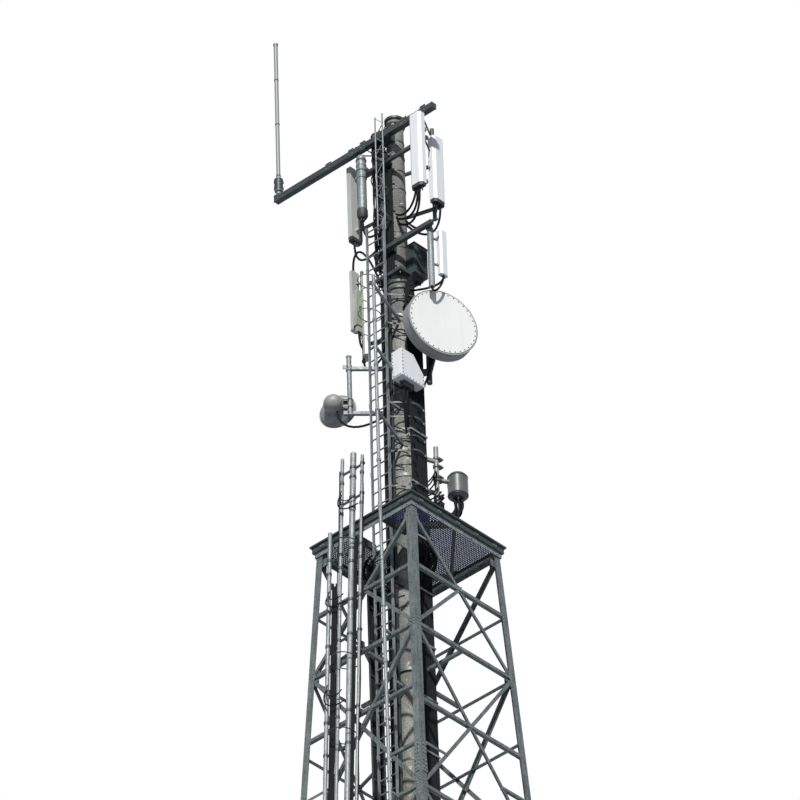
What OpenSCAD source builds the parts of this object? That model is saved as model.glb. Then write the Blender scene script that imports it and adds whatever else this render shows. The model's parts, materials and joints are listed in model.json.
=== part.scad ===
// Lattice-braced concrete telecom mast with a service platform and antennas.
// Origin: centre of the mast's base, on the ground. +Z is up. The tower's four
// flat sides face -Y, +X, +Y and -X.

/* [Mast] */
// Height of the platform deck's top edge
deck_z = 16300; // [12000:100:18000]
// Mast radius at the ground
mast_base_r = 390; // [350:5:450]
// Mast radius just under the collar
mast_collar_r = 225; // [215:5:235]
// Height of the collar above the deck
collar_rise = 5600; // [5500:50:5700]
// Radius of the slim upper section at its foot
upper_r = 165; // [155:5:175]
// Height of the mast top above the deck
top_rise = 9160; // [9100:10:9250]

/* [Lattice tower] */
// Half the side of the tower at the top of the legs
top_half = 1085; // [1060:5:1100]
// How far each side leans out for each unit of height
batter = 0.052; // [0.045:0.001:0.060]
// Width of a leg angle's flange
leg_flange = 130; // [110:10:160]
// Thickness of a leg angle
leg_wall = 14; // [10:1:16]
// Width of a bracing angle's flange
brace_flange = 65; // [60:5:90]
// Thickness of a bracing angle
brace_wall = 8; // [6:1:10]
// Side of a leg's base plate
base_plate = 420; // [380:10:480]
// Radius of the anchor holes
anchor_hole_r = 15; // [11:1:18]

/* [Platform] */
// Half the side of the deck
deck_half = 1168; // [1150:2:1190]
// Half the side of the opening around the mast
opening_half = 430; // [410:10:450]

/* [Ladder] */
// Ladder width, rail to rail
ladder_w = 400; // [380:10:420]
// Rung spacing
rung_pitch = 280; // [250:10:300]

/* [Antennas] */
// Diameter of the big drum dish
drum_d = 1310; // [1200:10:1350]
// Depth of the drum dish
drum_depth = 420; // [350:10:450]
// Diameter of the small dish
small_d = 640; // [500:10:700]
// Length of the top beam
beam_len = 3750; // [3600:10:3800]
// Side of the top beam's square tube
beam_w = 110; // [100:5:115]

/* [Hidden] */

galvanised = "#8d979b";
dark_steel = "#4c5352";
concrete = "#9d978a";
off_white = "#d9dbda";
black_rubber = "#1d1f22";

leg_top_z = deck_z - 240;
collar_z = deck_z + collar_rise;
mast_top_z = deck_z + top_rise;
mast_taper = (mast_base_r - mast_collar_r) / collar_z;
taper_angle = atan(mast_taper);
batter_angle = atan(batter);
ground_half = top_half + batter * leg_top_z;
plate_t = 30;
anchor_pitch = base_plate - 120;
// Distance of a base plate's centre from the two axes
leg_foot = ground_half - leg_flange / 2;

// Heights of the lattice panel ends, from the top down
panel_ends = [leg_top_z, leg_top_z - 2460, leg_top_z - 5860, leg_top_z - 9200, leg_top_z - 12600, 160];

// Mast radius and lattice half side at a height
function mast_r(z) = mast_base_r - mast_taper * z;
function half_at(z) = top_half + batter * (leg_top_z - z);

// ---------- shared shapes ----------

// Round bar from a to b
module rod(a, b, r, sides = 24) {
    d = b - a;
    translate(a) rotate([0, acos(d.z / norm(d)), atan2(d.y, d.x)])
        cylinder(h = norm(d), r = r, $fn = sides);
}

// Rectangular bar from a to b, w wide across and t deep
module strut(a, b, w, t) {
    d = b - a;
    translate(a) rotate([0, acos(d.z / norm(d)), atan2(d.y, d.x)])
        translate([-t / 2, -w / 2, 0]) cube([t, w, norm(d)]);
}

// Equal angle in the XZ plane from a to b (x, z pairs); its back is the plane y = 0
module angle_bar(a, b, flange, wall) {
    d = b - a;
    translate([a.x, 0, a.y]) rotate([0, -atan2(d.y, d.x), 0]) rotate([90, 0, 90])
        linear_extrude(norm(d)) polygon([
            [0, -flange / 2], [flange, -flange / 2], [flange, wall - flange / 2],
            [wall, wall - flange / 2], [wall, flange / 2], [0, flange / 2]
        ]);
}

// Point and its slope on a cubic curve with four control points
function curve(p, t) = pow(1 - t, 3) * p[0] + 3 * pow(1 - t, 2) * t * p[1]
    + 3 * (1 - t) * t * t * p[2] + pow(t, 3) * p[3];
function curve_dir(p, t) = 3 * (pow(1 - t, 2) * (p[1] - p[0]) + 2 * (1 - t) * t * (p[2] - p[1])
    + t * t * (p[3] - p[2]));
function unit(v) = v / norm(v);

// Round cable swept along a cubic curve
module cable(p, r, rings = 12, sides = 8) {
    points = [for (i = [0:rings]) let (
        t = i / rings, along = unit(curve_dir(p, t)),
        across = unit(cross(along, [1, -1, 0.15])), over = cross(along, across)
    ) for (k = [0:sides - 1]) curve(p, t)
        + r * (across * cos(360 * k / sides) + over * sin(360 * k / sides))];
    walls = [for (i = [0:rings - 1], k = [0:sides - 1]) let (n = (k + 1) % sides) [
        i * sides + k, (i + 1) * sides + k, (i + 1) * sides + n, i * sides + n
    ]];
    foot = [for (k = [0:sides - 1]) k];
    head = [for (k = [0:sides - 1]) rings * sides + sides - 1 - k];
    polyhedron(points, concat([foot], walls, [head]), convexity = 4);
}

// Antenna radome, width along X, front towards -Y, standing on z = 0
module radome(w, d, h) {
    nose = 0.3;
    linear_extrude(h) polygon([
        [-w / 2, d], [w / 2, d], [w / 2, nose * d], [w * (0.5 - nose * 0.6), 0],
        [-w * (0.5 - nose * 0.6), 0], [-w / 2, nose * d]
    ]);
}

// Square frame of side 2 * half, rails w wide and h high, standing on z
module square_frame(half, w, z, h) {
    translate([0, 0, z]) difference() {
        translate([-half, -half, 0]) cube([2 * half, 2 * half, h]);
        translate([w - half, w - half, -1]) cube([2 * (half - w), 2 * (half - w), h + 2]);
    }
}

// Ring around the mast
module mast_ring(z, h, thickness) {
    translate([0, 0, z]) difference() {
        cylinder(h = h, r = mast_r(z) + thickness, $fn = 48);
        translate([0, 0, -1]) cylinder(h = h + 2, r = mast_r(z) + 1, $fn = 48);
    }
}

// ---------- mast ----------

module concrete_mast() {
    color(concrete) cylinder(h = collar_z, r1 = mast_base_r, r2 = mast_collar_r, $fn = 64);
}

module mast_upper() {
    color(concrete) translate([0, 0, collar_z + 40])
        cylinder(h = mast_top_z - collar_z - 100, r1 = upper_r, r2 = upper_r - 15, $fn = 48);
}

module mast_cap() {
    color(dark_steel) translate([0, 0, mast_top_z - 60]) {
        cylinder(h = 45, r = upper_r + 15, $fn = 48);
        translate([0, 0, 45]) cylinder(h = 30, r1 = upper_r - 10, r2 = 60, $fn = 48);
    }
}

collar_half = 290;
module mast_collar() {
    color(galvanised) {
        translate([0, 0, collar_z]) cylinder(h = 40, r = 275, $fn = 48);
        for (z = [-150, -280]) mast_ring(collar_z + z, 50, 25);
        square_frame(collar_half, 60, collar_z, 60);
        for (a = [45:90:315]) rotate([0, 0, a]) translate([250, -6, collar_z - 60]) cube([120, 12, 60]);
    }
}

band_rises = [400, 1300, 1850, 2250, 3050, 3950, 4700];
module mast_bands() {
    color(galvanised) for (rise = band_rises) mast_ring(deck_z + rise, 60, 14);
}

// ---------- lattice tower ----------

// Leg at the +X, +Y corner
module corner_leg() {
    lean = asin(batter / sqrt(1 + 2 * batter * batter));
    length = leg_top_z * sqrt(1 + 2 * batter * batter);
    color(galvanised) {
        translate([ground_half, ground_half, 0]) rotate([lean, -batter_angle, 0])
            translate([0, 0, plate_t * 0.6]) linear_extrude(length - plate_t * 0.6) polygon([
                [0, 0], [-leg_flange, 0], [-leg_flange, -leg_wall], [-leg_wall, -leg_wall],
                [-leg_wall, -leg_flange], [0, -leg_flange]
            ]);
        difference() {
            translate([leg_foot - base_plate / 2, leg_foot - base_plate / 2, 0])
                cube([base_plate, base_plate, plate_t]);
            for (x = [-1, 1], y = [-1, 1])
                translate([leg_foot + x * anchor_pitch / 2, leg_foot + y * anchor_pitch / 2, -1])
                    cylinder(h = plate_t + 2, r = anchor_hole_r, $fn = 32);
        }
    }
}
module leg_right() { corner_leg(); }
module leg_front() { mirror([0, 1, 0]) corner_leg(); }
module leg_back() { mirror([1, 0, 0]) corner_leg(); }
module leg_left() { mirror([0, 1, 0]) mirror([1, 0, 0]) corner_leg(); }

// One flat side of the lattice, facing -Y. mid_lift raises the middle rails; main
// is the side (1 or -1) where the top panel's full diagonal meets the leg's head.
module lattice_side(mid_lift, main) {
    inset = 45;
    // each direction of bar lies in its own layer, just biting into the next
    layer = brace_wall - 1;
    color(galvanised) translate([0, -ground_half + leg_wall + 1, 0]) rotate([-batter_angle, 0, 0]) {
        for (i = [0:len(panel_ends) - 2]) {
            top = panel_ends[i] - (i == 0 ? 60 : 0);
            low = panel_ends[i + 1];
            top_w = half_at(top) - inset;
            low_w = half_at(low) - inset;
            cross_z = low + (top - low) * low_w / (low_w + top_w);
            lift = i == 0 ? 0 : mid_lift;
            mid_w = half_at(cross_z + lift) - inset;
            for (dir = [1, -1]) {
                head = i == 0 && dir != main ? [0, cross_z] : [dir * top_w, top];
                translate([0, (dir > 0 ? 1 : 2) * layer, 0])
                    angle_bar([-dir * low_w, low], head, brace_flange, brace_wall);
            }
            angle_bar([-low_w, low], [low_w, low], brace_flange, brace_wall);
            angle_bar([-mid_w, cross_z + lift], [mid_w, cross_z + lift], brace_flange, brace_wall);
            // short rails from the legs to the diagonals, below the crossing
            if (i > 0) {
                stub_z = low + (cross_z - low) * 0.5;
                stub_w = half_at(stub_z) - inset;
                for (s = [-1, 1]) translate([0, layer / 2, 0])
                    angle_bar([s * stub_w * 0.5, stub_z], [s * stub_w, stub_z], 55, 6);
            }
        }
    }
}

module lattice_front_left() { lattice_side(300, 1); }
module lattice_front_right() { rotate([0, 0, 90]) lattice_side(0, -1); }
module lattice_back_right() { rotate([0, 0, 180]) lattice_side(300, -1); }
module lattice_back_left() { rotate([0, 0, 270]) lattice_side(0, 1); }

// Frames that steady the mast inside the lattice at the panel ends
module mast_guides() {
    color(galvanised) for (i = [1:4]) {
        z = panel_ends[i];
        reach = half_at(z) - leg_wall - brace_flange;
        ring_r = mast_r(z) + 35;
        difference() {
            union() {
                translate([0, 0, z - 30]) cylinder(h = 60, r = ring_r, $fn = 48);
                for (a = [0:90:270]) rotate([0, 0, a])
                    translate([0, -30, z - 30]) cube([reach, 60, 60]);
            }
            translate([0, 0, z - 40]) cylinder(h = 80, r = mast_r(z) + 2, $fn = 48);
        }
    }
}

// ---------- platform ----------

module tower_top_ring() {
    half = top_half + 22;
    color(galvanised) {
        square_frame(half, 12, leg_top_z, 95);
        square_frame(half, 95, leg_top_z + 83, 12);
    }
}

frame_foot = leg_top_z + 95;
module platform_frame() {
    color(dark_steel) {
        square_frame(deck_half - 30, 70, frame_foot, deck_z - 32 - frame_foot);
        square_frame(deck_half, 34, deck_z - 32, 32);
    }
}

// Joists in a diamond between the middles of the edge beams, framing the ladder hatch
joist_w = 60;
hatch_joist_x = 350;
module platform_joists() {
    reach = deck_half - 105;
    height = deck_z - 32 - frame_foot;
    mid_z = frame_foot + height / 2;
    hatch_end = hatch_joist_x - reach;
    color(dark_steel) for (s = [-1, 1]) {
        strut([s * (reach + 15), -15, mid_z], [-15 * s, reach + 15, mid_z], joist_w, height);
        strut([s * (reach + 15), 15, mid_z], [s * (hatch_joist_x - 20), hatch_end - 20, mid_z],
            joist_w, height);
        translate([s * hatch_joist_x - joist_w / 2, -reach, frame_foot + 1])
            cube([joist_w, reach - opening_half, height - 2]);
    }
}

// Grating panels around the mast opening, with the ladder hatch in the front
hatch_x = [-330, 300];
hatch_y = -1060;
module deck_plates() {
    edge = deck_half - 36;
    thick = 30;
    gap = 6;
    corner_fill = 150;
    color("#3a4048") translate([0, 0, deck_z - thick]) {
        // rear panel, with two corners that close the opening's far side
        linear_extrude(thick) polygon([
            [-edge, edge], [edge, edge], [edge, opening_half], [opening_half - gap, opening_half],
            [opening_half - gap, corner_fill], [corner_fill, opening_half], [-corner_fill, opening_half],
            [gap - opening_half, corner_fill], [gap - opening_half, opening_half], [-edge, opening_half]
        ]);
        for (s = [-1, 1]) {
            low = s < 0 ? -edge : opening_half;
            translate([low, -opening_half + gap, 0])
                cube([edge - opening_half, 2 * opening_half - 2 * gap, thick]);
        }
        translate([-edge, -edge, 0]) cube([edge + hatch_x[0] - gap, edge - opening_half, thick]);
        translate([hatch_x[1] + gap, -edge, 0]) cube([edge - hatch_x[1] - gap, edge - opening_half, thick]);
        translate([hatch_x[0], -edge, 0]) cube([hatch_x[1] - hatch_x[0], edge + hatch_y, thick]);
    }
}

// ---------- ladder and cable routes ----------

// Places children against the mast's -Y flank, gap away from its surface
module on_front_flank(gap) {
    translate([0, -mast_base_r - gap, 0]) rotate([-taper_angle, 0, 0]) children();
}

ladder_x = -70;
ladder_gap = 280;
ladder_foot = 250;
ladder_top = deck_z + 6650;
module ladder_lower() {
    color(galvanised) on_front_flank(ladder_gap) translate([ladder_x, 0, 0]) {
        for (s = [-1, 1]) translate([s * ladder_w / 2 - 10, -25, ladder_foot])
            cube([20, 50, ladder_top - ladder_foot]);
        for (z = [ladder_foot + 200:rung_pitch:ladder_top - 60])
            translate([-ladder_w / 2, 0, z]) rotate([0, 90, 0]) cylinder(h = ladder_w, r = 13, $fn = 8);
        // stand-off arms to the mast
        for (z = [1600:2900:ladder_top - 1500], s = [-1, 1])
            translate([s * ladder_w / 2 - 5, 20, z]) cube([10, ladder_gap + 45, 50]);
    }
}

upper_ladder_w = 170;
upper_ladder_z = [deck_z + 6450, deck_z + 9000];
upper_ladder_pos = [35, -450];
module ladder_upper() {
    step = 210;
    count = floor((upper_ladder_z[1] - upper_ladder_z[0]) / step);
    rail_r = 14;
    color(galvanised) translate([upper_ladder_pos.x, upper_ladder_pos.y, 0]) {
        for (s = [-1, 1]) translate([s * upper_ladder_w / 2, 0, upper_ladder_z[0]])
            cylinder(h = upper_ladder_z[1] - upper_ladder_z[0], r = rail_r, $fn = 16);
        for (i = [0:count - 1]) {
            z = upper_ladder_z[0] + 30 + i * step;
            s = i % 2 == 0 ? 1 : -1;
            strut([-s * upper_ladder_w / 2, 0, z], [s * upper_ladder_w / 2, 0, z + step - 20], 12, 12);
        }
        for (z = [upper_ladder_z[0] + 350, upper_ladder_z[0] + 1650], s = [-1, 1])
            strut([s * upper_ladder_w / 2, 0, z], [s * 40 - upper_ladder_pos.x, 300, z], 40, 10);
    }
}

// Conduit on the outer face of the front left side, parallel to the front leg
conduit_r = 30;
conduit_off = 75;
conduit_x = 495;
function conduit_point(z) = let (drop = max(0, deck_z - z)) [
    conduit_x + batter * drop, -(half_at(min(z, deck_z)) + conduit_off + 60), z
];
conduit_top = deck_z + 4850;
module front_conduit() {
    color(galvanised) {
        rod(conduit_point(220), conduit_point(deck_z), conduit_r);
        translate(conduit_point(deck_z) - [0, 0, 15])
            cylinder(h = conduit_top - deck_z, r = conduit_r, $fn = 24);
        translate(conduit_point(deck_z) - [0, 0, 60]) cylinder(h = 120, r = conduit_r + 8, $fn = 24);
    }
}

arm_rises = [1950, 3300, 4600];
module conduit_arms() {
    color(galvanised) {
        for (rise = arm_rises) {
            z = deck_z + rise;
            p = conduit_point(z);
            strut([p.x, p.y + conduit_r - 4, z], [150, -mast_r(z) * 0.86, z], 40, 40);
        }
        for (z = [panel_ends[1], panel_ends[2], panel_ends[3], panel_ends[4]]) {
            p = conduit_point(z);
            strut([p.x, p.y + conduit_r - 4, z], [p.x, -half_at(z) + leg_wall, z], 50, 40);
        }
    }
}

// Ladder-type tray on the mast's front flank, between the ladder and the mast
tray_w = 200;
tray_x = -30;
tray_gap = 105;
tray_top = collar_z - 350;
module cable_tray() {
    color(dark_steel) on_front_flank(tray_gap) translate([tray_x, 0, 0]) {
        for (s = [-1, 1]) translate([s * tray_w / 2 - 4, -20, 200]) cube([8, 40, tray_top - 200]);
        for (z = [400:600:tray_top - 100]) translate([-tray_w / 2, 8, z]) cube([tray_w, 12, 30]);
    }
}

module tray_cables() {
    color(black_rubber) on_front_flank(tray_gap) for (i = [-2:2])
        translate([tray_x + i * 36, -9, 210]) cylinder(h = tray_top - 260 - abs(i) * 60, r = 14, $fn = 16);
}

feeder_r = 15;
feeder_pitch = 40;
feeder_gap = 62;
feeder_top = collar_z - 420;
module on_side_flank() {
    translate([mast_base_r + feeder_gap, 0, 0]) rotate([0, -taper_angle, 0]) children();
}
module feeder_cables() {
    color(black_rubber) on_side_flank() for (i = [-4.5:1:4.5])
        translate([0, i * feeder_pitch, 210]) cylinder(h = feeder_top - 210, r = feeder_r, $fn = 16);
}

module feeder_clamps() {
    color(galvanised) on_side_flank() for (z = [900:1100:feeder_top - 200]) {
        translate([feeder_r + 2, -5.2 * feeder_pitch, z]) cube([10, 10.4 * feeder_pitch, 36]);
        translate([-feeder_r - 14, -5.2 * feeder_pitch, z]) cube([12, 10.4 * feeder_pitch, 36]);
        for (s = [-1, 1]) translate([-feeder_r - 14, s * 5.1 * feeder_pitch - 5, z])
            cube([2 * feeder_r + 26, 10, 36]);
        translate([-feeder_gap + 4, -25, z]) cube([feeder_gap - feeder_r - 10, 50, 36]);
    }
}

// Second cable route inside the lattice, from the ground to the deck
shaft_x = -620;
shaft_y = -200;
shaft_w = 300;
module place_shaft() { translate([shaft_x, shaft_y, 0]) rotate([0, 0, 270]) children(); }
module shaft_tray() {
    color(dark_steel) place_shaft() {
        for (s = [-1, 1]) translate([s * shaft_w / 2 - 4, -20, 200]) cube([8, 40, frame_foot - 230]);
        for (z = [500:700:frame_foot - 200]) translate([-shaft_w / 2, 8, z]) cube([shaft_w, 12, 30]);
    }
}
module shaft_cables() {
    color(black_rubber) place_shaft() for (i = [-3:3])
        translate([i * 38, -9, 210]) cylinder(h = frame_foot - 260, r = 14, $fn = 16);
}

// Channel and cables on the upper mast's -Y flank
upper_route_y = -upper_r - 45;
upper_route_z = [collar_z + 80, deck_z + 8500];
module upper_tray() {
    color(galvanised) translate([0, upper_route_y, 0]) {
        translate([-160, -30, upper_route_z[0]]) cube([60, 60, upper_route_z[1] - upper_route_z[0]]);
        for (z = [upper_route_z[0] + 200:600:upper_route_z[1] - 100]) translate([0, 0, z]) {
            translate([-110, 8, 0]) cube([240, 14, 30]);
            translate([-20, 20, 5]) cube([40, 50, 20]);
        }
    }
}
module upper_cables() {
    color(black_rubber) translate([0, upper_route_y, upper_route_z[0] + 10]) for (i = [0:4])
        translate([-64 + i * 36, -9, 0])
            cylinder(h = upper_route_z[1] - upper_route_z[0] - 60 - i * 90, r = 15, $fn = 16);
}

// ---------- top beam and upper antennas ----------

beam_y = -320;
beam_z = deck_z + 8630;
beam_end_x = 1210;
bar_z = deck_z + 8050;
module top_beam() {
    color(dark_steel) translate([beam_end_x - beam_len, beam_y - beam_w / 2, beam_z - beam_w / 2])
        cube([beam_len, beam_w, beam_w]);
}

module beam_clamps() {
    half = beam_w / 2;
    color(dark_steel) {
        // saddle between the beam and the mast, with a plate on the beam's face
        translate([-110, beam_y + half, beam_z - 80]) cube([220, -beam_y - half - upper_r + 45, 160]);
        translate([-140, beam_y - half - 10, beam_z - 80]) cube([280, 10, 160]);
        // plates that hold the antenna poles
        for (x = [-420, 1000])
            translate([x - 60, beam_y - half - 10, beam_z - 90]) cube([120, 10, 180]);
    }
}

whip_x = beam_end_x - beam_len + 60;
whip_r = 36;
module whip_antenna() {
    foot = beam_z + beam_w / 2;
    color(galvanised) translate([whip_x, beam_y, foot]) {
        cylinder(h = 120, r = 45, $fn = 32);
        translate([0, 0, 110]) cylinder(h = 270, r = 74, $fn = 32);
        translate([0, 0, 380]) cylinder(h = 50, r1 = 62, r2 = whip_r, $fn = 32);
        translate([0, 0, 430]) cylinder(h = 2970, r = whip_r, $fn = 24);
        translate([0, 0, 3400]) cylinder(h = 40, r = whip_r + 8, $fn = 24);
    }
}

pole_a = [975, -345];
pole_b = [640, 250];
module upper_frame() {
    color(dark_steel) {
        // lower bar, its struts to the mast and the poles of the three panels
        strut([-590, beam_y + 15, bar_z], [pole_a.x + 45, beam_y + 15, bar_z], 60, 60);
        strut([0, beam_y + 15, bar_z], [0, -upper_r + 30, bar_z], 90, 60);
        translate([pole_a.x, pole_a.y - 60, deck_z + 6950]) cylinder(h = 1620, r = 32, $fn = 24);
        translate([pole_b.x, pole_b.y, deck_z + 6750]) cylinder(h = 2000, r = 36, $fn = 24);
        for (z = [bar_z, bar_z + 420]) {
            strut([pole_a.x, pole_a.y - 40, z + 60], [pole_b.x, pole_b.y, z + 60], 24, 24);
        }
        for (rise = [7000, 7950])
            strut([100, 90, deck_z + rise], [pole_b.x, pole_b.y, deck_z + rise], 50, 50);
        // stalk of the left rear panel
        translate([-810, -70, deck_z + 6900]) cylinder(h = 1500, r = 30, $fn = 24);
        for (rise = [7150, 8250])
            strut([-110, -30, deck_z + rise], [-810, -70, deck_z + rise], 45, 45);
    }
}

panel_a_z = [deck_z + 6900, deck_z + 8440];
panel_b_z = [deck_z + 7040, deck_z + 8420];
panel_c_z = [deck_z + 7010, deck_z + 8530];
module place_panel_a(z) { translate([975, -590, z]) children(); }
module place_panel_b(z) { translate([850, 190, z]) rotate([0, 0, 90]) children(); }
module place_panel_c(z) { translate([-1015, -70, z]) rotate([0, 0, 270]) children(); }

module panel_antenna_a() {
    color(off_white) place_panel_a(panel_a_z[0]) radome(265, 135, panel_a_z[1] - panel_a_z[0]);
    color(off_white) place_panel_a(0) for (z = [panel_a_z[0] + 150, panel_a_z[1] - 250])
        translate([-40, 134, z]) cube([80, 30, 60]);
}
module panel_antenna_b() {
    color(off_white) place_panel_b(panel_b_z[0]) radome(280, 140, panel_b_z[1] - panel_b_z[0]);
    color(off_white) place_panel_b(0) for (z = [panel_b_z[0] + 150, panel_b_z[1] - 250])
        translate([-40, 139, z]) cube([80, 45, 60]);
}
module panel_antenna_c() {
    color(off_white) place_panel_c(panel_c_z[0]) radome(270, 135, panel_c_z[1] - panel_c_z[0]);
    color(off_white) place_panel_c(0) for (z = [panel_c_z[0] + 150, panel_c_z[1] - 250])
        translate([-40, 134, z]) cube([80, 60, 60]);
}

cap_h = 60;
module panel_end_caps() {
    color(black_rubber) {
        place_panel_a(panel_a_z[0] - cap_h) translate([0, 6, 0]) radome(250, 122, cap_h);
        place_panel_b(panel_b_z[0] - cap_h) translate([0, 6, 0]) radome(264, 126, cap_h);
        place_panel_c(panel_c_z[0] - cap_h) translate([0, 6, 0]) radome(254, 122, cap_h);
    }
}

canister_pos = [-420, -430];
canister_r = 84;
module canister_antenna() {
    color(galvanised) translate([canister_pos.x, canister_pos.y, deck_z + 7070]) {
        cylinder(h = 1240, r = canister_r, $fn = 40);
        translate([0, 0, 1240]) cylinder(h = 50, r1 = canister_r, r2 = 54, $fn = 40);
        for (z = [960, 1060]) translate([0, 0, z]) cylinder(h = 36, r = canister_r + 8, $fn = 40);
        translate([0, 0, -70]) cylinder(h = 70, r1 = 66, r2 = canister_r, $fn = 40);
        // clamp plates reaching back to the lower bar
        for (z = [970, 1070]) translate([-25, 60, z]) cube([50, 110, 36]);
    }
}

// ---------- lower boom, right side ----------

boom_y = -300;
boom_z = deck_z + 6180;
boom_at = [925, -205];
module lower_boom() {
    color(dark_steel) {
        strut([-130, boom_y, boom_z], [1060, boom_y, boom_z], 80, 80);
        rod([1050, boom_y, boom_z], [1150, boom_y, boom_z], 18);
        translate([1150, boom_y, boom_z]) rotate([0, 90, 0]) cylinder(h = 24, r = 30, $fn = 24);
        translate([-90, boom_y + 40, boom_z - 50]) cube([180, -boom_y - 40 - upper_r + 40, 100]);
        translate([boom_at.x - 50, boom_y + 38, boom_z - 60]) cube([100, 60, 120]);
    }
}

module boom_pole() {
    color(galvanised) {
        translate([boom_at.x, boom_at.y, deck_z + 4900]) cylinder(h = 1250, r = 55, $fn = 32);
        // outriggers for the slim antenna
        for (rise = [5400, 5950])
            strut([boom_at.x, boom_at.y, deck_z + rise], [1010, -20, deck_z + rise], 40, 30);
    }
}

module slim_antenna() {
    color(off_white) translate([1060, 0, deck_z + 5200]) rotate([0, 0, 90]) radome(175, 100, 940);
}

// ---------- left side antennas ----------

module left_panels() {
    color(off_white) {
        translate([-520, -400, deck_z + 4050]) rotate([0, 0, 310]) radome(235, 120, 1690);
        translate([-810, -330, deck_z + 4780]) rotate([0, 0, 270]) radome(170, 95, 1270);
    }
}

module left_radio() {
    color("#8f9a86") translate([-700, -430, deck_z + 4820]) cube([90, 170, 680]);
    color("#8f9a86") translate([-685, -400, deck_z + 4700]) cube([60, 110, 125]);
    color("#8f9a86") translate([-680, -390, deck_z + 5495]) cube([50, 90, 105]);
}

module left_mount() {
    color(dark_steel) {
        translate([-640, -250, deck_z + 4100]) cylinder(h = 1950, r = 30, $fn = 24);
        for (rise = [4450, 5750]) {
            strut([-170, -110, deck_z + rise], [-640, -250, deck_z + rise], 50, 50);
            reach_z = deck_z + rise + 60;
            strut([-640, -250, reach_z], [-730, -320, reach_z + (rise < 5000 ? 420 : 0)], 36, 36);
            strut([-640, -250, deck_z + rise + 30], [-560, -360, deck_z + rise + 30], 36, 36);
        }
    }
}

module equipment_box() {
    color(dark_steel) translate([125, 0, collar_z + 62]) cube([240, 330, 620]);
}

// ---------- drum dish ----------

dish_turn = -20;
dish_centre = [870, 110, deck_z + 4335];
// Frame of the dish: +X is its face normal, origin at the centre of the rim
module dish_frame() { translate(dish_centre) rotate([0, 0, dish_turn]) rotate([0, 90, 0]) children(); }

module drum_dish_shell() {
    r = drum_d / 2;
    color("#a9acab") dish_frame() rotate_extrude($fn = 96) polygon([
        [0, -drum_depth], [r * 0.35, -drum_depth], [r * 0.88, -drum_depth * 0.62],
        [r * 0.97, -drum_depth * 0.6], [r, -drum_depth * 0.55], [r, -12], [r + 8, -12],
        [r + 8, 0], [r - 22, 0], [r - 22, -drum_depth * 0.5],
        [0, -drum_depth * 0.5]
    ]);
}
module drum_dish_face() {
    color(off_white) dish_frame() translate([0, 0, -6]) cylinder(h = 14, r = drum_d / 2 - 24, $fn = 96);
}

dish_pole = [400, 240];
module dish_mount() {
    color(dark_steel) {
        translate([dish_pole.x, dish_pole.y, deck_z + 3350]) cylinder(h = 1750, r = 48, $fn = 32);
        for (rise = [3600, 4850])
            strut([130, 90, deck_z + rise], [dish_pole.x, dish_pole.y, deck_z + rise], 90, 90);
        dish_frame() translate([-60, -60, -drum_depth - 60]) cube([120, 120, 70]);
        strut([dish_pole.x, dish_pole.y, deck_z + 3500], [620, 250, deck_z + 4120], 45, 45);
    }
}

// ---------- flat antenna under the dish ----------

module flat_antenna() {
    color(off_white) translate([270, -560, deck_z + 3080]) rotate([90, 0, 90]) linear_extrude(230)
        polygon([[0, 0], [550, 0], [550, 230], [295, 560], [0, 560]]);
}
module flat_antenna_bracket() {
    color(dark_steel) {
        for (rise = [3180, 3480])
            strut([150, -170, deck_z + rise], [300, -330, deck_z + rise], 70, 40);
        translate([330, -420, deck_z + 2980]) cube([90, 240, 120]);
    }
}

// ---------- small dish ----------

small_pole = [-640, -640];
small_turn = 114;
small_ball = [-835, -850, deck_z + 3000];
// Frame of the small dish: +Z of the frame points out of its mouth, away from the front leg
module small_frame() { translate(small_ball) rotate([0, 0, small_turn]) rotate([0, 90, 0]) children(); }

module small_dish() {
    r = small_d / 2;
    color("#8d8f8e") small_frame() {
        rotate_extrude($fn = 64) polygon([
            [0, 60], [r * 0.3, 75], [r * 0.62, 120], [r * 0.88, 185], [r, 235], [r + 10, 235], [r + 10, 250],
            [r - 12, 250], [r - 12, 240], [r * 0.84, 205], [r * 0.58, 142], [r * 0.28, 98], [0, 84]
        ]);
        translate([0, 0, 10]) sphere(r = 172, $fn = 48);
        translate([0, 0, 10]) cylinder(h = 72, r = 95, $fn = 48);
    }
}

module small_dish_mount() {
    color(galvanised) {
        translate([small_pole.x, small_pole.y, deck_z + 2740]) cylinder(h = 1250, r = 42, $fn = 32);
        translate([small_pole.x, small_pole.y, deck_z + 3990]) cylinder(h = 20, r = 48, $fn = 32);
        for (rise = [2800, 3750]) {
            strut([-150, -150, deck_z + rise], [small_pole.x, small_pole.y, deck_z + rise], 60, 60);
            translate([small_pole.x, small_pole.y, deck_z + rise - 50]) cylinder(h = 100, r = 56, $fn = 32);
        }
        for (rise = [2930, 3090])
            strut([small_pole.x, small_pole.y, deck_z + rise], [-780, -790, deck_z + rise], 80, 30);
    }
}

// ---------- radio on the right, just above the deck ----------

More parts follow.
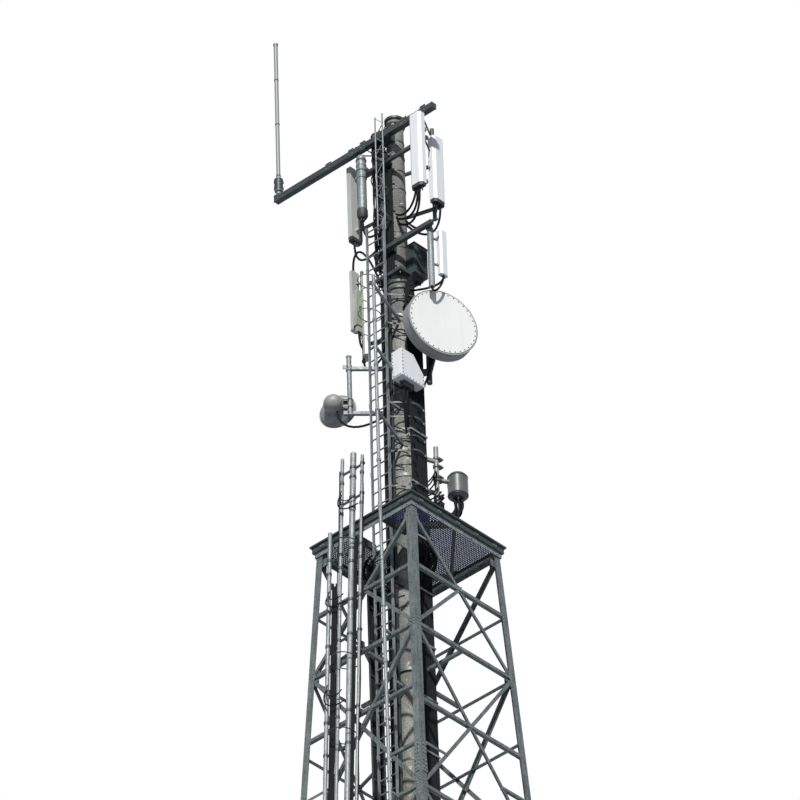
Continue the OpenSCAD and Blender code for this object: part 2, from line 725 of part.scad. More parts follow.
radio_pole = [200, 560];
radio_pos = [385, 880];
module radio_unit() {
    color("#7d8284") translate([radio_pos.x, radio_pos.y, deck_z + 1300]) {
        cylinder(h = 400, r = 165, $fn = 48);
        translate([0, 0, 400]) cylinder(h = 40, r1 = 165, r2 = 145, $fn = 48);
        translate([0, 0, 440]) cylinder(h = 25, r1 = 145, r2 = 95, $fn = 48);
        translate([0, 0, -40]) cylinder(h = 40, r1 = 120, r2 = 165, $fn = 48);
    }
}
module radio_mount() {
    color(dark_steel) {
        translate([radio_pole.x, radio_pole.y, deck_z + 1000]) cylinder(h = 1270, r = 42, $fn = 24);
        for (rise = [1300, 1970])
            strut([50, 180, deck_z + rise], [radio_pole.x, radio_pole.y, deck_z + rise], 60, 60);
        strut([radio_pole.x, radio_pole.y, deck_z + 1580],
            [radio_pos.x - 60, radio_pos.y - 120, deck_z + 1580], 70, 40);
    }
}

// ---------- poles on the outside of the front left lattice side ----------

// Pole lines: x, radius, foot height and top height above or below the deck
side_pole_x = [-655, -400, -148, 60];
side_pole_r = [36, 31, 52, 28];
side_pole_top = [deck_z + 20, deck_z + 1455, deck_z + 1455, deck_z + 1315];
side_off = 130;
module on_lattice_face() {
    translate([0, -ground_half - side_off, 0]) rotate([-batter_angle, 0, 0]) children();
}

module side_poles() {
    color(galvanised) on_lattice_face() for (i = [0:3]) translate([side_pole_x[i], 0, 220]) {
        cylinder(h = side_pole_top[i] - 220, r = side_pole_r[i], $fn = 32);
        if (i == 1 || i == 2)
            translate([0, 0, side_pole_top[i] - 220])
                cylinder(h = 24, r1 = side_pole_r[i], r2 = side_pole_r[i] * 0.6, $fn = 32);
    }
}

bracket_rises = [-10200, -7350, -4650, -2400, -600, 480, 1120];
module side_pole_brackets() {
    color(dark_steel) on_lattice_face() for (rise = bracket_rises) {
        z = deck_z + rise;
        left = rise > 0 ? side_pole_x[1] : side_pole_x[0];
        translate([left - 40, 0, z]) translate([0, 15, 0]) cube([side_pole_x[3] - left + 80, 14, 50]);
        if (rise < 0) for (x = [-600, -300])
            translate([x, 25, z]) cube([40, side_off - 20, 50]);
        for (i = [rise > 0 ? 1 : 0:3]) translate([side_pole_x[i], 0, z])
            cylinder(h = 50, r = side_pole_r[i] + 8, $fn = 24);
    }
}

// Cable runs between the poles: x and top height above or below the deck
side_cable_runs = [
    [-560, -1100], [-520, -1180], [-480, -1140], [-66, -470], [-28, -520]
];
module side_cables() {
    color(black_rubber) on_lattice_face() for (run = side_cable_runs)
        translate([run[0], -4, 210]) cylinder(h = deck_z + run[1] - 210, r = 18, $fn = 16);
}

// ---------- jumper cables ----------

// Each row: four control points of a cable's curve; they are clipped at both ends
jumper_routes = [
    // right panels to the mast
    [[960, -530, 6850], [960, -520, 6450], [700, -380, 6350], [130, -130, 6850]],
    [[1000, -530, 6850], [1010, -500, 6350], [640, -300, 6250], [140, -100, 6750]],
    [[925, -530, 6850], [900, -540, 6520], [560, -420, 6450], [110, -150, 6950]],
    [[790, 150, 6990], [780, 120, 6450], [480, 80, 6350], [150, 40, 6900]],
    [[790, 230, 6990], [800, 230, 6350], [500, 200, 6300], [150, 70, 6800]],
    // left panels to the mast
    [[-935, -90, 6960], [-935, -120, 6300], [-500, -200, 6200], [-150, -60, 6700]],
    [[-420, -430, 7010], [-420, -430, 6500], [-400, -330, 6500], [-140, -90, 6900]],
    [[-540, -380, 4060], [-520, -360, 3640], [-420, -300, 3740], [-220, -100, 4240]],
    [[-655, -345, 4710], [-655, -345, 4140], [-480, -260, 4150], [-215, -100, 4650]],
    [[-760, -330, 6040], [-800, -330, 6600], [-540, -300, 6800], [-230, -130, 5400]],
    // slim antenna, dish and flat antenna
    [[1010, 0, 5210], [1010, 0, 4960], [925, -205, 4700], [925, -205, 4905]],
    [[1000, 20, 5210], [1000, 10, 5000], [700, -120, 5000], [190, -40, 5300]],
    [[540, 220, 4300], [480, 200, 3500], [420, 150, 3300], [250, 90, 3100]],
    [[370, -300, 3060], [370, -300, 2700], [300, -260, 2500], [215, -120, 2300]],
    [[360, -380, 3060], [360, -380, 2600], [300, -300, 2400], [200, -160, 2150]],
    // radio loops
    [[370, 850, 1265], [370, 850, 740], [260, 600, 760], [120, 225, 1300]],
    [[410, 900, 1265], [410, 920, 600], [250, 640, 520], [90, 240, 1050]],
    // small dish tail
    [[-800, -800, 2910], [-800, -800, 2400], [-500, -500, 2400], [-160, -180, 2800]]
];
jumper_r = 20;
module jumper_cables() {
    color(black_rubber) for (route = jumper_routes)
        cable([for (p = route) p + [0, 0, deck_z]], jumper_r);
}

// ---------- assembly ----------

concrete_mast();
mast_upper();
mast_cap();
mast_collar();
mast_bands();
leg_front();
leg_right();
leg_back();
leg_left();
lattice_front_left();
lattice_front_right();
lattice_back_right();
lattice_back_left();
mast_guides();
tower_top_ring();
platform_frame();
platform_joists();
deck_plates();
ladder_lower();
ladder_upper();
front_conduit();
conduit_arms();
cable_tray();
tray_cables();
feeder_cables();
feeder_clamps();
shaft_tray();
shaft_cables();
top_beam();
beam_clamps();
whip_antenna();
upper_frame();
panel_antenna_a();
panel_antenna_b();
panel_antenna_c();
panel_end_caps();
canister_antenna();
lower_boom();
boom_pole();
slim_antenna();
left_panels();
left_radio();
left_mount();
equipment_box();
drum_dish_shell();
drum_dish_face();
dish_mount();
flat_antenna();
flat_antenna_bracket();
small_dish();
small_dish_mount();
radio_unit();
radio_mount();
side_poles();
side_pole_brackets();
side_cables();
upper_tray();
upper_cables();
jumper_cables();
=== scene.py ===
"""Lattice-braced telecom mast: materials, small hardware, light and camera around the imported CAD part."""
import json
import math
import random

import bmesh
import bpy
from mathutils import Matrix, Vector


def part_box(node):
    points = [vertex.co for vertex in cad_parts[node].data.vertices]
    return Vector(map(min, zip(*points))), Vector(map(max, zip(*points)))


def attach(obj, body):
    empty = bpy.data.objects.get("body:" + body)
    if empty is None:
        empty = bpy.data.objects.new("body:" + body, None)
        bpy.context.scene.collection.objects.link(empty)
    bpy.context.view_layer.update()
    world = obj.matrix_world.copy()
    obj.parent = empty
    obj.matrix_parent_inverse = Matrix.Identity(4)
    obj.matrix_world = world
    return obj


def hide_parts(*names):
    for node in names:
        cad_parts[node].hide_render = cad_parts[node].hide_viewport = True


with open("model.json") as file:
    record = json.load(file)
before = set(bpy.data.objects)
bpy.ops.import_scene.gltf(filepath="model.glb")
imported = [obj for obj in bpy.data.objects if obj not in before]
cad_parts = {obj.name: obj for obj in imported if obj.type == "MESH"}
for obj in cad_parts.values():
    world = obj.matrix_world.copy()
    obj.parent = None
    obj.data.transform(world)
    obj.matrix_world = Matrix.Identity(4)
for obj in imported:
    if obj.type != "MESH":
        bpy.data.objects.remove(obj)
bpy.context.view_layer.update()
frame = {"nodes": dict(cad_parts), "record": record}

# ---------------------------------------------------------------- sizes from the CAD part

DECK_LOW, DECK_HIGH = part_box("deck_plates")
DECK_Z = DECK_HIGH.z
LEG_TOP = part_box("tower_top_ring")[0].z
# how far a base plate and the top ring stand out from the legs' outer faces
PLATE_OUT, RING_OUT = 0.145, 0.022
GROUND_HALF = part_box("leg_right")[1].x - PLATE_OUT
TOP_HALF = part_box("tower_top_ring")[1].x - RING_OUT
BATTER = (GROUND_HALF - TOP_HALF) / LEG_TOP
MAST_BASE_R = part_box("concrete_mast")[1].x
COLLAR_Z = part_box("concrete_mast")[1].z
MAST_COLLAR_R = 0.225
MAST_TAPER = (MAST_BASE_R - MAST_COLLAR_R) / COLLAR_Z
# heights of the lattice's bracing joints, from the top down
PANEL_ENDS = [LEG_TOP - drop for drop in (0, 2.46, 5.86, 9.2, 12.6)] + [0.16]
OPENING_HALF = 0.43
HATCH_X = (-0.33, 0.30)
HATCH_Y = -1.06
CORNER_FILL = 0.15
# centres, radii and turns that the CAD part is drawn to
DISH_TURN = -20
POLE_A = (0.975, -0.345, 0.032)
POLE_B = (0.640, 0.250, 0.036)
CANISTER_R = 0.084
FEEDER_GAP = 0.062
SMALL_TURN, SMALL_R = 114, 0.320
SMALL_BALL = Vector((-0.835, -0.850, DECK_Z + 3.0))
SMALL_POLE = (-0.640, -0.640)
RADIO_POLE = (0.200, 0.560)
CONDUIT_AT = (0.495, -1.2075)
SIDE_X = (-0.655, -0.400, -0.148, 0.060)
SIDE_R = (0.036, 0.031, 0.052, 0.028)
SIDE_OFF = 0.130

UP, DOWN = (0, 0, 1), (0, 0, -1)
# degrees past which an edge stays sharp on bolt heads
BOLT_SMOOTH = 25


def mast_radius(z):
    return MAST_BASE_R - MAST_TAPER * z


def half_at(z):
    return TOP_HALF + BATTER * (LEG_TOP - z)


def about_z(angle):
    """Rotation about the vertical, in radians."""
    return Matrix.Rotation(angle, 3, "Z")


# ---------------------------------------------------------------- mesh building

class Shape:
    """Collects vertices and faces of many small solids, then makes one object of them."""

    def __init__(self):
        self.verts = []
        self.faces = []

    def add(self, verts, faces):
        start = len(self.verts)
        self.verts.extend(Vector(v) for v in verts)
        self.faces.extend([start + i for i in face] for face in faces)

    def box(self, centre, size, turn=None):
        x, y, z = (s / 2 for s in size)
        turn = turn or Matrix.Identity(3)
        corners = [Vector((i * x, j * y, k * z)) for i in (-1, 1) for j in (-1, 1) for k in (-1, 1)]
        self.add([Vector(centre) + turn @ c for c in corners],
                 [(0, 1, 3, 2), (4, 6, 7, 5), (0, 4, 5, 1), (2, 3, 7, 6), (0, 2, 6, 4), (1, 5, 7, 3)])

    def loft(self, rings, closed_ends=True):
        """Joins equal rings of points with quads."""
        n = len(rings[0])
        verts = [p for ring in rings for p in ring]
        faces = [(i * n + k, i * n + (k + 1) % n, (i + 1) * n + (k + 1) % n, (i + 1) * n + k)
                 for i in range(len(rings) - 1) for k in range(n)]
        if closed_ends:
            faces.append(tuple(reversed(range(n))))
            faces.append(tuple((len(rings) - 1) * n + k for k in range(n)))
        self.add(verts, faces)

    def turned(self, start, axis, profile, sides=16):
        """Body of revolution: profile is (distance along the axis, radius) pairs."""
        u, v, w = frame_of(axis)
        start = Vector(start)
        self.loft([[start + w * t + (u * math.cos(a) + v * math.sin(a)) * max(r, 1e-4)
                    for a in (2 * math.pi * k / sides for k in range(sides))] for t, r in profile])

    def tube(self, a, b, radius, sides=12):
        a, b = Vector(a), Vector(b)
        self.turned(a, b - a, [(0, radius), ((b - a).length, radius)], sides)

    def sweep(self, points, radius, sides=10):
        """Round tube along a smooth list of points."""
        rings, across = [], None
        for i, p in enumerate(points):
            along = (points[min(i + 1, len(points) - 1)] - points[max(i - 1, 0)]).normalized()
            if across is None:
                across = frame_of(along)[0]
            across = (across - along * across.dot(along)).normalized()
            over = along.cross(across)
            rings.append([p + (across * math.cos(t) + over * math.sin(t)) * radius
                          for t in (2 * math.pi * k / sides for k in range(sides))])
        self.loft(rings)

    def cable(self, controls, radius, steps=28, sides=10):
        """Tube along a cubic curve with four control points."""
        self.sweep(curve_points(controls, steps), radius, sides)

    def ring(self, centre, axis, major, minor, steps=32, sides=8):
        """Closed hoop of round bar."""
        u, v, w = frame_of(axis)
        rings = []
        for i in range(steps):
            a = 2 * math.pi * i / steps
            out = u * math.cos(a) + v * math.sin(a)
            rings.append([Vector(centre) + out * (major + minor * math.cos(t)) + w * minor * math.sin(t)
                          for t in (2 * math.pi * k / sides for k in range(sides))])
        start = len(self.verts)
        self.loft(rings, closed_ends=False)
        last = start + (steps - 1) * sides
        self.faces.extend([last + k, last + (k + 1) % sides, start + (k + 1) % sides, start + k]
                          for k in range(sides))

    def bolt(self, at, normal, radius=0.015, washer=True):
        """Hexagon head on a washer, standing on a surface."""
        w = Vector(normal).normalized()
        at = Vector(at)
        base = 0.0
        if washer:
            self.turned(at, w, [(0, radius * 1.45), (radius * 0.25, radius * 1.45)], 12)
            base = radius * 0.25
        self.turned(at + w * base, w, [(0, radius), (radius * 0.85, radius), (radius, radius * 0.86)], 6)

    def build(self, name, slot, smooth=35.0):
        """Makes the object, with its slot's material, riding the one body."""
        mesh = bpy.data.meshes.new(name)
        mesh.from_pydata(self.verts, [], self.faces)
        tidy = bmesh.new()
        tidy.from_mesh(mesh)
        bmesh.ops.recalc_face_normals(tidy, faces=tidy.faces)
        tidy.to_mesh(mesh)
        tidy.free()
        mesh.shade_smooth()
        mesh.set_sharp_from_angle(angle=math.radians(smooth))
        mesh.materials.append(MATERIALS[slot])
        obj = bpy.data.objects.new(name, mesh)
        bpy.context.scene.collection.objects.link(obj)
        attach(obj, "root")
        return obj


def frame_of(axis):
    """Three unit vectors at right angles, the last along axis."""
    w = Vector(axis).normalized()
    side = Vector((0, 0, 1)) if abs(w.z) < 0.9 else Vector((1, 0, 0))
    u = side.cross(w).normalized()
    return u, w.cross(u), w


def curve_points(controls, steps):
    """Points on a cubic curve with four control points."""
    a, b, c, d = (Vector(p) for p in controls)
    return [a * (1 - t) ** 3 + b * 3 * t * (1 - t) ** 2 + c * 3 * t * t * (1 - t) + d * t ** 3
            for t in (i / steps for i in range(steps + 1))]


# ---------------------------------------------------------------- materials

class Surface:
    """A procedural material; its texture space is the object's own, in metres."""

    def __init__(self, name, roughness=0.6, metallic=0.0):
        self.material = bpy.data.materials.new(name)
        self.material.use_nodes = True
        self.tree = self.material.node_tree
        self.shader = self.tree.nodes["Principled BSDF"]
        self.shader.inputs["Roughness"].default_value = roughness
        self.shader.inputs["Metallic"].default_value = metallic
        self.space = self.tree.nodes.new("ShaderNodeTexCoord").outputs["Object"]

    def link(self, out, socket):
        self.tree.links.new(out, socket)

    def stretched(self, scale):
        node = self.tree.nodes.new("ShaderNodeMapping")
        node.inputs["Scale"].default_value = scale
        self.link(self.space, node.inputs["Vector"])
        return node.outputs["Vector"]

    def noise(self, scale, detail=5.0, rough=0.55, stretch=(1, 1, 1), seed=0.0):
        node = self.tree.nodes.new("ShaderNodeTexNoise")
        node.noise_dimensions = "4D"
        node.inputs["W"].default_value = seed
        node.inputs["Scale"].default_value = scale
        node.inputs["Detail"].default_value = detail
        node.inputs["Roughness"].default_value = rough
        self.link(self.stretched(stretch), node.inputs["Vector"])
        return node.outputs["Fac"]

    def cells(self, scale, stretch=(1, 1, 1)):
        node = self.tree.nodes.new("ShaderNodeTexVoronoi")
        node.inputs["Scale"].default_value = scale
        self.link(self.stretched(stretch), node.inputs["Vector"])
        return node

    def ramp(self, value, stops):
        """Blends between colours; stops are (position, colour) pairs."""
        node = self.tree.nodes.new("ShaderNodeValToRGB")
        points = node.color_ramp.elements
        while len(points) < len(stops):
            points.new(0.5)
        for point, (place, colour) in zip(points, stops):
            point.position = place
            point.color = (*colour, 1) if len(colour) == 3 else colour
        self.link(value, node.inputs["Fac"])
        return node.outputs["Color"]

    def mask(self, value, low, high):
        return self.ramp(value, [(low, (0, 0, 0)), (high, (1, 1, 1))])

    def mix(self, amount, a, b, mode="MIX"):
        node = self.tree.nodes.new("ShaderNodeMix")
        node.data_type = "RGBA"
        node.blend_type = mode
        for value, socket in ((amount, node.inputs[0]), (a, node.inputs[6]), (b, node.inputs[7])):
            if isinstance(value, (int, float)):
                socket.default_value = value
            elif isinstance(value, tuple):
                socket.default_value = (*value, 1)
            else:
                self.link(value, socket)
        return node.outputs[2]

    def spread(self, value, low, high):
        node = self.tree.nodes.new("ShaderNodeMapRange")
        node.inputs["To Min"].default_value = low
        node.inputs["To Max"].default_value = high
        self.link(value, node.inputs["Value"])
        return node.outputs["Result"]

    def bump(self, height, strength, distance, under=None):
        node = self.tree.nodes.new("ShaderNodeBump")
        node.inputs["Strength"].default_value = strength
        node.inputs["Distance"].default_value = distance
        self.link(height, node.inputs["Height"])
        if under is not None:
            self.link(under, node.inputs["Normal"])
        return node.outputs["Normal"]

    def done(self, colour, rough=None, normal=None):
        self.link(colour, self.shader.inputs["Base Color"])
        if rough is not None:
            self.link(rough, self.shader.inputs["Roughness"])
        if normal is not None:
            self.link(normal, self.shader.inputs["Normal"])
        return self.material


def concrete_surface():
    """Cast concrete: stains, moss, grit, pale patches and pits."""
    s = Surface("weathered_concrete", 0.9)
    broad = s.noise(1.6, 6, 0.6, (1, 1, 0.5))
    base = s.ramp(broad, [(0.34, (0.090, 0.096, 0.090)), (0.5, (0.205, 0.210, 0.200)),
                          (0.66, (0.37, 0.372, 0.355))])
    streaks = s.mask(s.noise(9.0, 5, 0.6, (1, 1, 0.06), 2.0), 0.48, 0.66)
    stained = s.mix(s.spread(streaks, 0.0, 0.75), base, (0.13, 0.12, 0.10))
    moss = s.mask(s.noise(2.6, 7, 0.7, (1, 1, 0.35), 5.0), 0.55, 0.68)
    mossy = s.mix(s.spread(moss, 0.0, 0.55), stained, (0.23, 0.25, 0.13))
    grit = s.noise(60.0, 6, 0.65)
    speckled = s.mix(s.spread(s.mask(grit, 0.40, 0.56), 0.75, 0.0), mossy, (0.06, 0.062, 0.056))
    pale = s.mask(s.noise(9.0, 7, 0.75, (1, 1, 0.8), 11.0), 0.58, 0.66)
    final = s.mix(s.spread(pale, 0.0, 0.75), speckled, (0.54, 0.54, 0.515))
    pits = s.bump(s.mask(s.noise(28.0, 6, 0.7, (1, 1, 1), 3.0), 0.3, 0.62), 0.55, 0.012)
    rough = s.bump(grit, 0.35, 0.004, pits)
    return s.done(final, s.spread(broad, 0.8, 0.98), rough)


def zinc_surface(name, dark, light, metallic, rough, rust):
    """Galvanised steel: spangle, run-off streaks, white bloom and a little rust."""
    s = Surface(name, rough, metallic)
    spangle = s.cells(70.0)
    flakes = s.ramp(spangle.outputs["Color"], [(0.2, dark), (0.8, light)])
    bloom = s.mask(s.noise(7.0, 6, 0.65, (1, 1, 0.4), 1.0), 0.45, 0.68)
    cloudy = s.mix(s.spread(bloom, 0.0, 0.6), flakes, tuple(min(1, c * 1.25) for c in light))
    streaks = s.mask(s.noise(26.0, 4, 0.6, (1, 1, 0.05), 4.0), 0.50, 0.68)
    dirty = s.mix(s.spread(streaks, 0.0, 0.5), cloudy, tuple(c * 0.5 for c in dark))
    rusty = s.mask(s.noise(11.0, 8, 0.72, (1, 1, 0.7), 9.0), 0.655, 0.70)
    final = s.mix(s.spread(rusty, 0.0, rust), dirty, (0.20, 0.085, 0.035))
    grain = s.bump(s.noise(160.0, 3, 0.5), 0.18, 0.002)
    return s.done(final, s.spread(bloom, rough - 0.1, rough + 0.2), grain)


def painted_surface(name, tone, chip, gloss=0.5, dirt=0.5):
    """Paint with chips, grime and slight orange peel."""
    s = Surface(name, gloss)
    broad = s.noise(3.5, 6, 0.6)
    base = s.ramp(broad, [(0.3, tuple(c * 0.75 for c in tone)), (0.7, tuple(min(1, c * 1.2) for c in tone))])
    streaks = s.mask(s.noise(20.0, 5, 0.6, (1, 1, 0.07), 3.0), 0.50, 0.70)
    dirty = s.mix(s.spread(streaks, 0.0, dirt), base, tuple(c * 0.35 for c in tone))
    chips = s.mask(s.noise(34.0, 8, 0.75, (1, 1, 1), 8.0), 0.64, 0.67)
    final = s.mix(s.spread(chips, 0.0, 0.85), dirty, chip)
    peel = s.bump(s.noise(220.0, 2, 0.5), 0.12, 0.001)
    return s.done(final, s.spread(broad, gloss - 0.1, gloss + 0.2), peel)


def radome_surface(name, tone, dirt, soil=(0.23, 0.22, 0.19)):
    """Glass-fibre cover: slight broad tone variation, rain streaks and scattered soot spots."""
    s = Surface(name, 0.42)
    broad = s.noise(1.8, 5, 0.6, (1, 1, 0.5))
    base = s.ramp(broad, [(0.3, tuple(c * 0.92 for c in tone)), (0.7, tone)])
    streaks = s.mask(s.noise(30.0, 5, 0.65, (1, 1, 0.04), 6.0), 0.46, 0.72)
    streaked = s.mix(s.spread(streaks, 0.0, dirt), base, soil)
    spots = s.mask(s.noise(90.0, 5, 0.7, (1, 1, 1), 2.0), 0.62, 0.70)
    final = s.mix(s.spread(spots, 0.0, dirt), streaked, tuple(c * 0.7 for c in soil))
    skin = s.bump(s.noise(140.0, 3, 0.5), 0.08, 0.001)
    return s.done(final, s.spread(broad, 0.34, 0.55), skin)


def cable_surface():
    """Black sheath with dust and scuffs."""
    s = Surface("cable_sheath", 0.7)
    s.shader.inputs["Specular IOR Level"].default_value = 0.15
    dust = s.noise(14.0, 6, 0.65, (1, 1, 0.3))
    base = s.ramp(dust, [(0.35, (0.003, 0.004, 0.005)), (0.7, (0.012, 0.013, 0.015))])
    scuffs = s.mask(s.noise(90.0, 4, 0.6, (1, 1, 0.2), 3.0), 0.58, 0.72)
    final = s.mix(s.spread(scuffs, 0.0, 0.3), base, (0.045, 0.045, 0.045))
    rings = s.bump(s.noise(120.0, 2, 0.5, (0.2, 0.2, 1.0)), 0.2, 0.002)
    return s.done(final, s.spread(dust, 0.6, 0.85), rings)


MATERIALS = {
    "concrete": concrete_surface(),
    "galvanised": zinc_surface("galvanised_steel", (0.11, 0.13, 0.132), (0.25, 0.275, 0.28), 0.20, 0.58, 0.7),
    "lattice_zinc": zinc_surface("lattice_zinc", (0.070, 0.088, 0.088), (0.180, 0.205, 0.200),
                                 0.30, 0.48, 0.6),
    "bright_zinc": zinc_surface("bright_zinc", (0.12, 0.14, 0.145), (0.27, 0.29, 0.295), 0.20, 0.58, 0.4),
    "dark_steel": painted_surface("dark_paint", (0.040, 0.052, 0.052), (0.16, 0.17, 0.16), 0.45, 0.6),
    # painted shade: the grating's near-black navy tones stand in for the deck's shaded underside in blue sky
    # light, not the zinc's own grey
    "grating": zinc_surface("grating_painted_shade", (0.010, 0.018, 0.056), (0.030, 0.048, 0.130), 0.15, 0.5, 0.3),
    "cable_black": cable_surface(),
    "whip_grey": radome_surface("whip_sleeve", (0.22, 0.235, 0.245), 0.45),
    "radome": radome_surface("radome_white", (0.66, 0.68, 0.70), 0.18),
    "radome_worn": radome_surface("radome_worn", (0.40, 0.42, 0.40), 0.5),
    "end_cap": painted_surface("end_cap_plastic", (0.03, 0.033, 0.036), (0.10, 0.10, 0.10), 0.55, 0.3),
    "radio_green": painted_surface("radio_green_paint", (0.33, 0.37, 0.30), (0.50, 0.50, 0.46), 0.45, 0.5),
    "radio_grey": painted_surface("radio_grey_paint", (0.10, 0.11, 0.112), (0.28, 0.28, 0.27), 0.38, 0.6),
    # partly painted shade: the drum shell's grey is its own paint, darkened further to stand in for the shade
    # down the drum's side
    "dish_shell": radome_surface("drum_paint_and_painted_shade", (0.26, 0.265, 0.265), 0.45),
    "dish_face": radome_surface("drum_radome", (0.66, 0.67, 0.66), 0.10),
    "small_dish_grey": painted_surface("small_dish_paint", (0.24, 0.245, 0.235), (0.42, 0.41, 0.38),
                                       0.4, 0.7),
}

SLOT_OF = {part["node"]: part["material_slot"] for part in frame["record"]["subparts"]}


def dress_cad_nodes():
    """Gives every CAD node the material of its slot."""
    for name, obj in frame["nodes"].items():
        if not obj.material_slots:
            obj.data.materials.append(None)
        for slot in obj.material_slots:
            slot.material = MATERIALS[SLOT_OF[name]]


# ---------------------------------------------------------------- lattice hardware

def face_turn(side):
    """Rotation that carries the side facing -Y onto side 0 to 3, counting towards +X."""
    return about_z(side * math.pi / 2)


def on_face(side, u, z, out=0.0):
    """Point on a lattice side: u across, height z, out from the leg's outer face."""
    return face_turn(side) @ Vector((u, -half_at(z) - out, z))


def face_normal(side):
    return face_turn(side) @ Vector((0, -1, -BATTER)).normalized()


def lattice_hardware():
    """Gusset plates behind the leg flanges, bolts through them and at the crossings."""
    plates, bolts = Shape(), Shape()
    leg_wall, leg_flange = 0.014, 0.13
    tilt = Matrix.Rotation(-math.atan(BATTER), 3, "X")
    for side in range(4):
        turn, normal = face_turn(side), face_normal(side)
        for i, z in enumerate(PANEL_ENDS):
            centre_z = z - 0.10 if i == 0 else z + (0.10 if i == 5 else 0.0)
            for s in (-1, 1):
                u = s * (half_at(centre_z) - 0.12)
                plates.box(on_face(side, u, centre_z, -leg_wall - 0.030), (0.17, 0.008, 0.22), turn @ tilt)
                for k in (-1, 0, 1):
                    for across in (0.038, 0.092):
                        at = on_face(side, s * (half_at(centre_z) - across), centre_z + k * 0.06, 0.001)
                        bolts.bolt(at, normal, 0.010)
        for i in range(5):
            top = PANEL_ENDS[i] - (0.06 if i == 0 else 0.0)
            low = PANEL_ENDS[i + 1]
            top_w, low_w = half_at(top) - 0.045, half_at(low) - 0.045
            cross_z = low + (top - low) * low_w / (low_w + top_w)
            plates.box(on_face(side, 0, cross_z, -leg_wall - 0.032), (0.13, 0.008, 0.13), turn @ tilt)
            for dx, dz in ((-0.05, -0.05), (0.05, 0.05), (-0.05, 0.05), (0.05, -0.05)):
                bolts.bolt(on_face(side, dx * 0.7, cross_z + dz * 0.7, -leg_wall), normal, 0.009)
        for splice_z in (5.0, 10.75):
            for s in (-1, 1):
                u = s * (half_at(splice_z) - leg_flange / 2 - 0.01)
                plates.box(on_face(side, u, splice_z, 0.006), (0.115, 0.012, 0.62), turn @ tilt)
                for k in range(-3, 4):
                    if k == 0:
                        continue
                    for across in (-0.03, 0.03):
                        spot = splice_z + k * 0.08
                        at = on_face(side, s * (half_at(spot) - leg_flange / 2 - 0.01) + across, spot, 0.012)
                        bolts.bolt(at, normal, 0.014)
    plates.build("lattice_gussets", "lattice_zinc")
    bolts.build("lattice_bolts", "bright_zinc", smooth=BOLT_SMOOTH)


def foot_hardware():
    """Stiffeners between each leg and its base plate, clear of the anchor holes."""
    ribs = Shape()
    for sx in (-1, 1):
        for sy in (-1, 1):
            corner = GROUND_HALF - 0.01
            for along in (0.30, 0.62):
                reach = 0.15 * along / 0.62
                ribs.box((sx * (corner - reach), sy * (corner - 0.02), 0.10), (0.010, 0.05, 0.14))
                ribs.box((sx * (corner - 0.02), sy * (corner - reach), 0.10), (0.05, 0.010, 0.14))
    ribs.build("foot_stiffeners", "lattice_zinc")


# ---------------------------------------------------------------- platform

def in_opening(x, y):
    in_mast = abs(x) < OPENING_HALF and abs(y) < OPENING_HALF and abs(x) + y < OPENING_HALF + CORNER_FILL
    in_hatch = HATCH_X[0] < x < HATCH_X[1] and HATCH_Y < y < 0
    return in_mast or in_hatch


def grating_runs(along_x, fixed, low, high, cell):
    """Stretches of one grating bar that don't cross an opening."""
    runs, start, t = [], None, low
    while t <= high + 1e-6:
        inside = in_opening(t, fixed) if along_x else in_opening(fixed, t)
        if not inside and start is None:
            start = t
        if (inside or t + cell > high + 1e-6) and start is not None:
            if t - start > cell / 2:
                runs.append((start, t))
            start = None
        t += cell
    return runs


def deck_grating():
    """Open bar grating with edge bars, in place of the solid deck plates."""
    grate = Shape()
    low, high = DECK_LOW.x + 0.004, DECK_HIGH.x - 0.004
    cell, depth, bar, rod = 0.040, 0.018, 0.014, 0.014
    mid_z = (DECK_LOW.z + DECK_HIGH.z) / 2
    count = int((high - low) / cell)
    for i in range(count + 1):
        at = low + i * (high - low) / count
        for a, b in grating_runs(True, at, low, high, cell / 4):
            grate.box(((a + b) / 2, at, mid_z), (b - a, bar, depth))
        for a, b in grating_runs(False, at, low, high, cell / 4):
            grate.box((at, (a + b) / 2, mid_z + 0.004), (rod, b - a, depth * 0.55))
    for a in (low, high):
        grate.box((a, 0, mid_z), (0.008, high - low, 0.030))
        grate.box((0, a, mid_z), (high - low, 0.008, 0.030))
    side_length = OPENING_HALF + CORNER_FILL
    slant = (OPENING_HALF - CORNER_FILL) * math.sqrt(2)
    slant_mid = side_length / 2
    for s in (-1, 1):
        grate.box((s * OPENING_HALF, CORNER_FILL - side_length / 2, mid_z), (0.008, side_length, 0.030))
        grate.box((s * slant_mid, slant_mid, mid_z), (slant, 0.008, 0.030), about_z(-s * math.pi / 4))
    grate.box((0, OPENING_HALF, mid_z), (2 * CORNER_FILL, 0.008, 0.030))
    for x in HATCH_X:
        grate.box((x, (HATCH_Y - OPENING_HALF) / 2, mid_z), (0.008, -HATCH_Y - OPENING_HALF, 0.030))
    grate.box((sum(HATCH_X) / 2, HATCH_Y, mid_z), (HATCH_X[1] - HATCH_X[0], 0.008, 0.030))
    obj = grate.build("deck_grating", "grating")
    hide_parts("deck_plates")


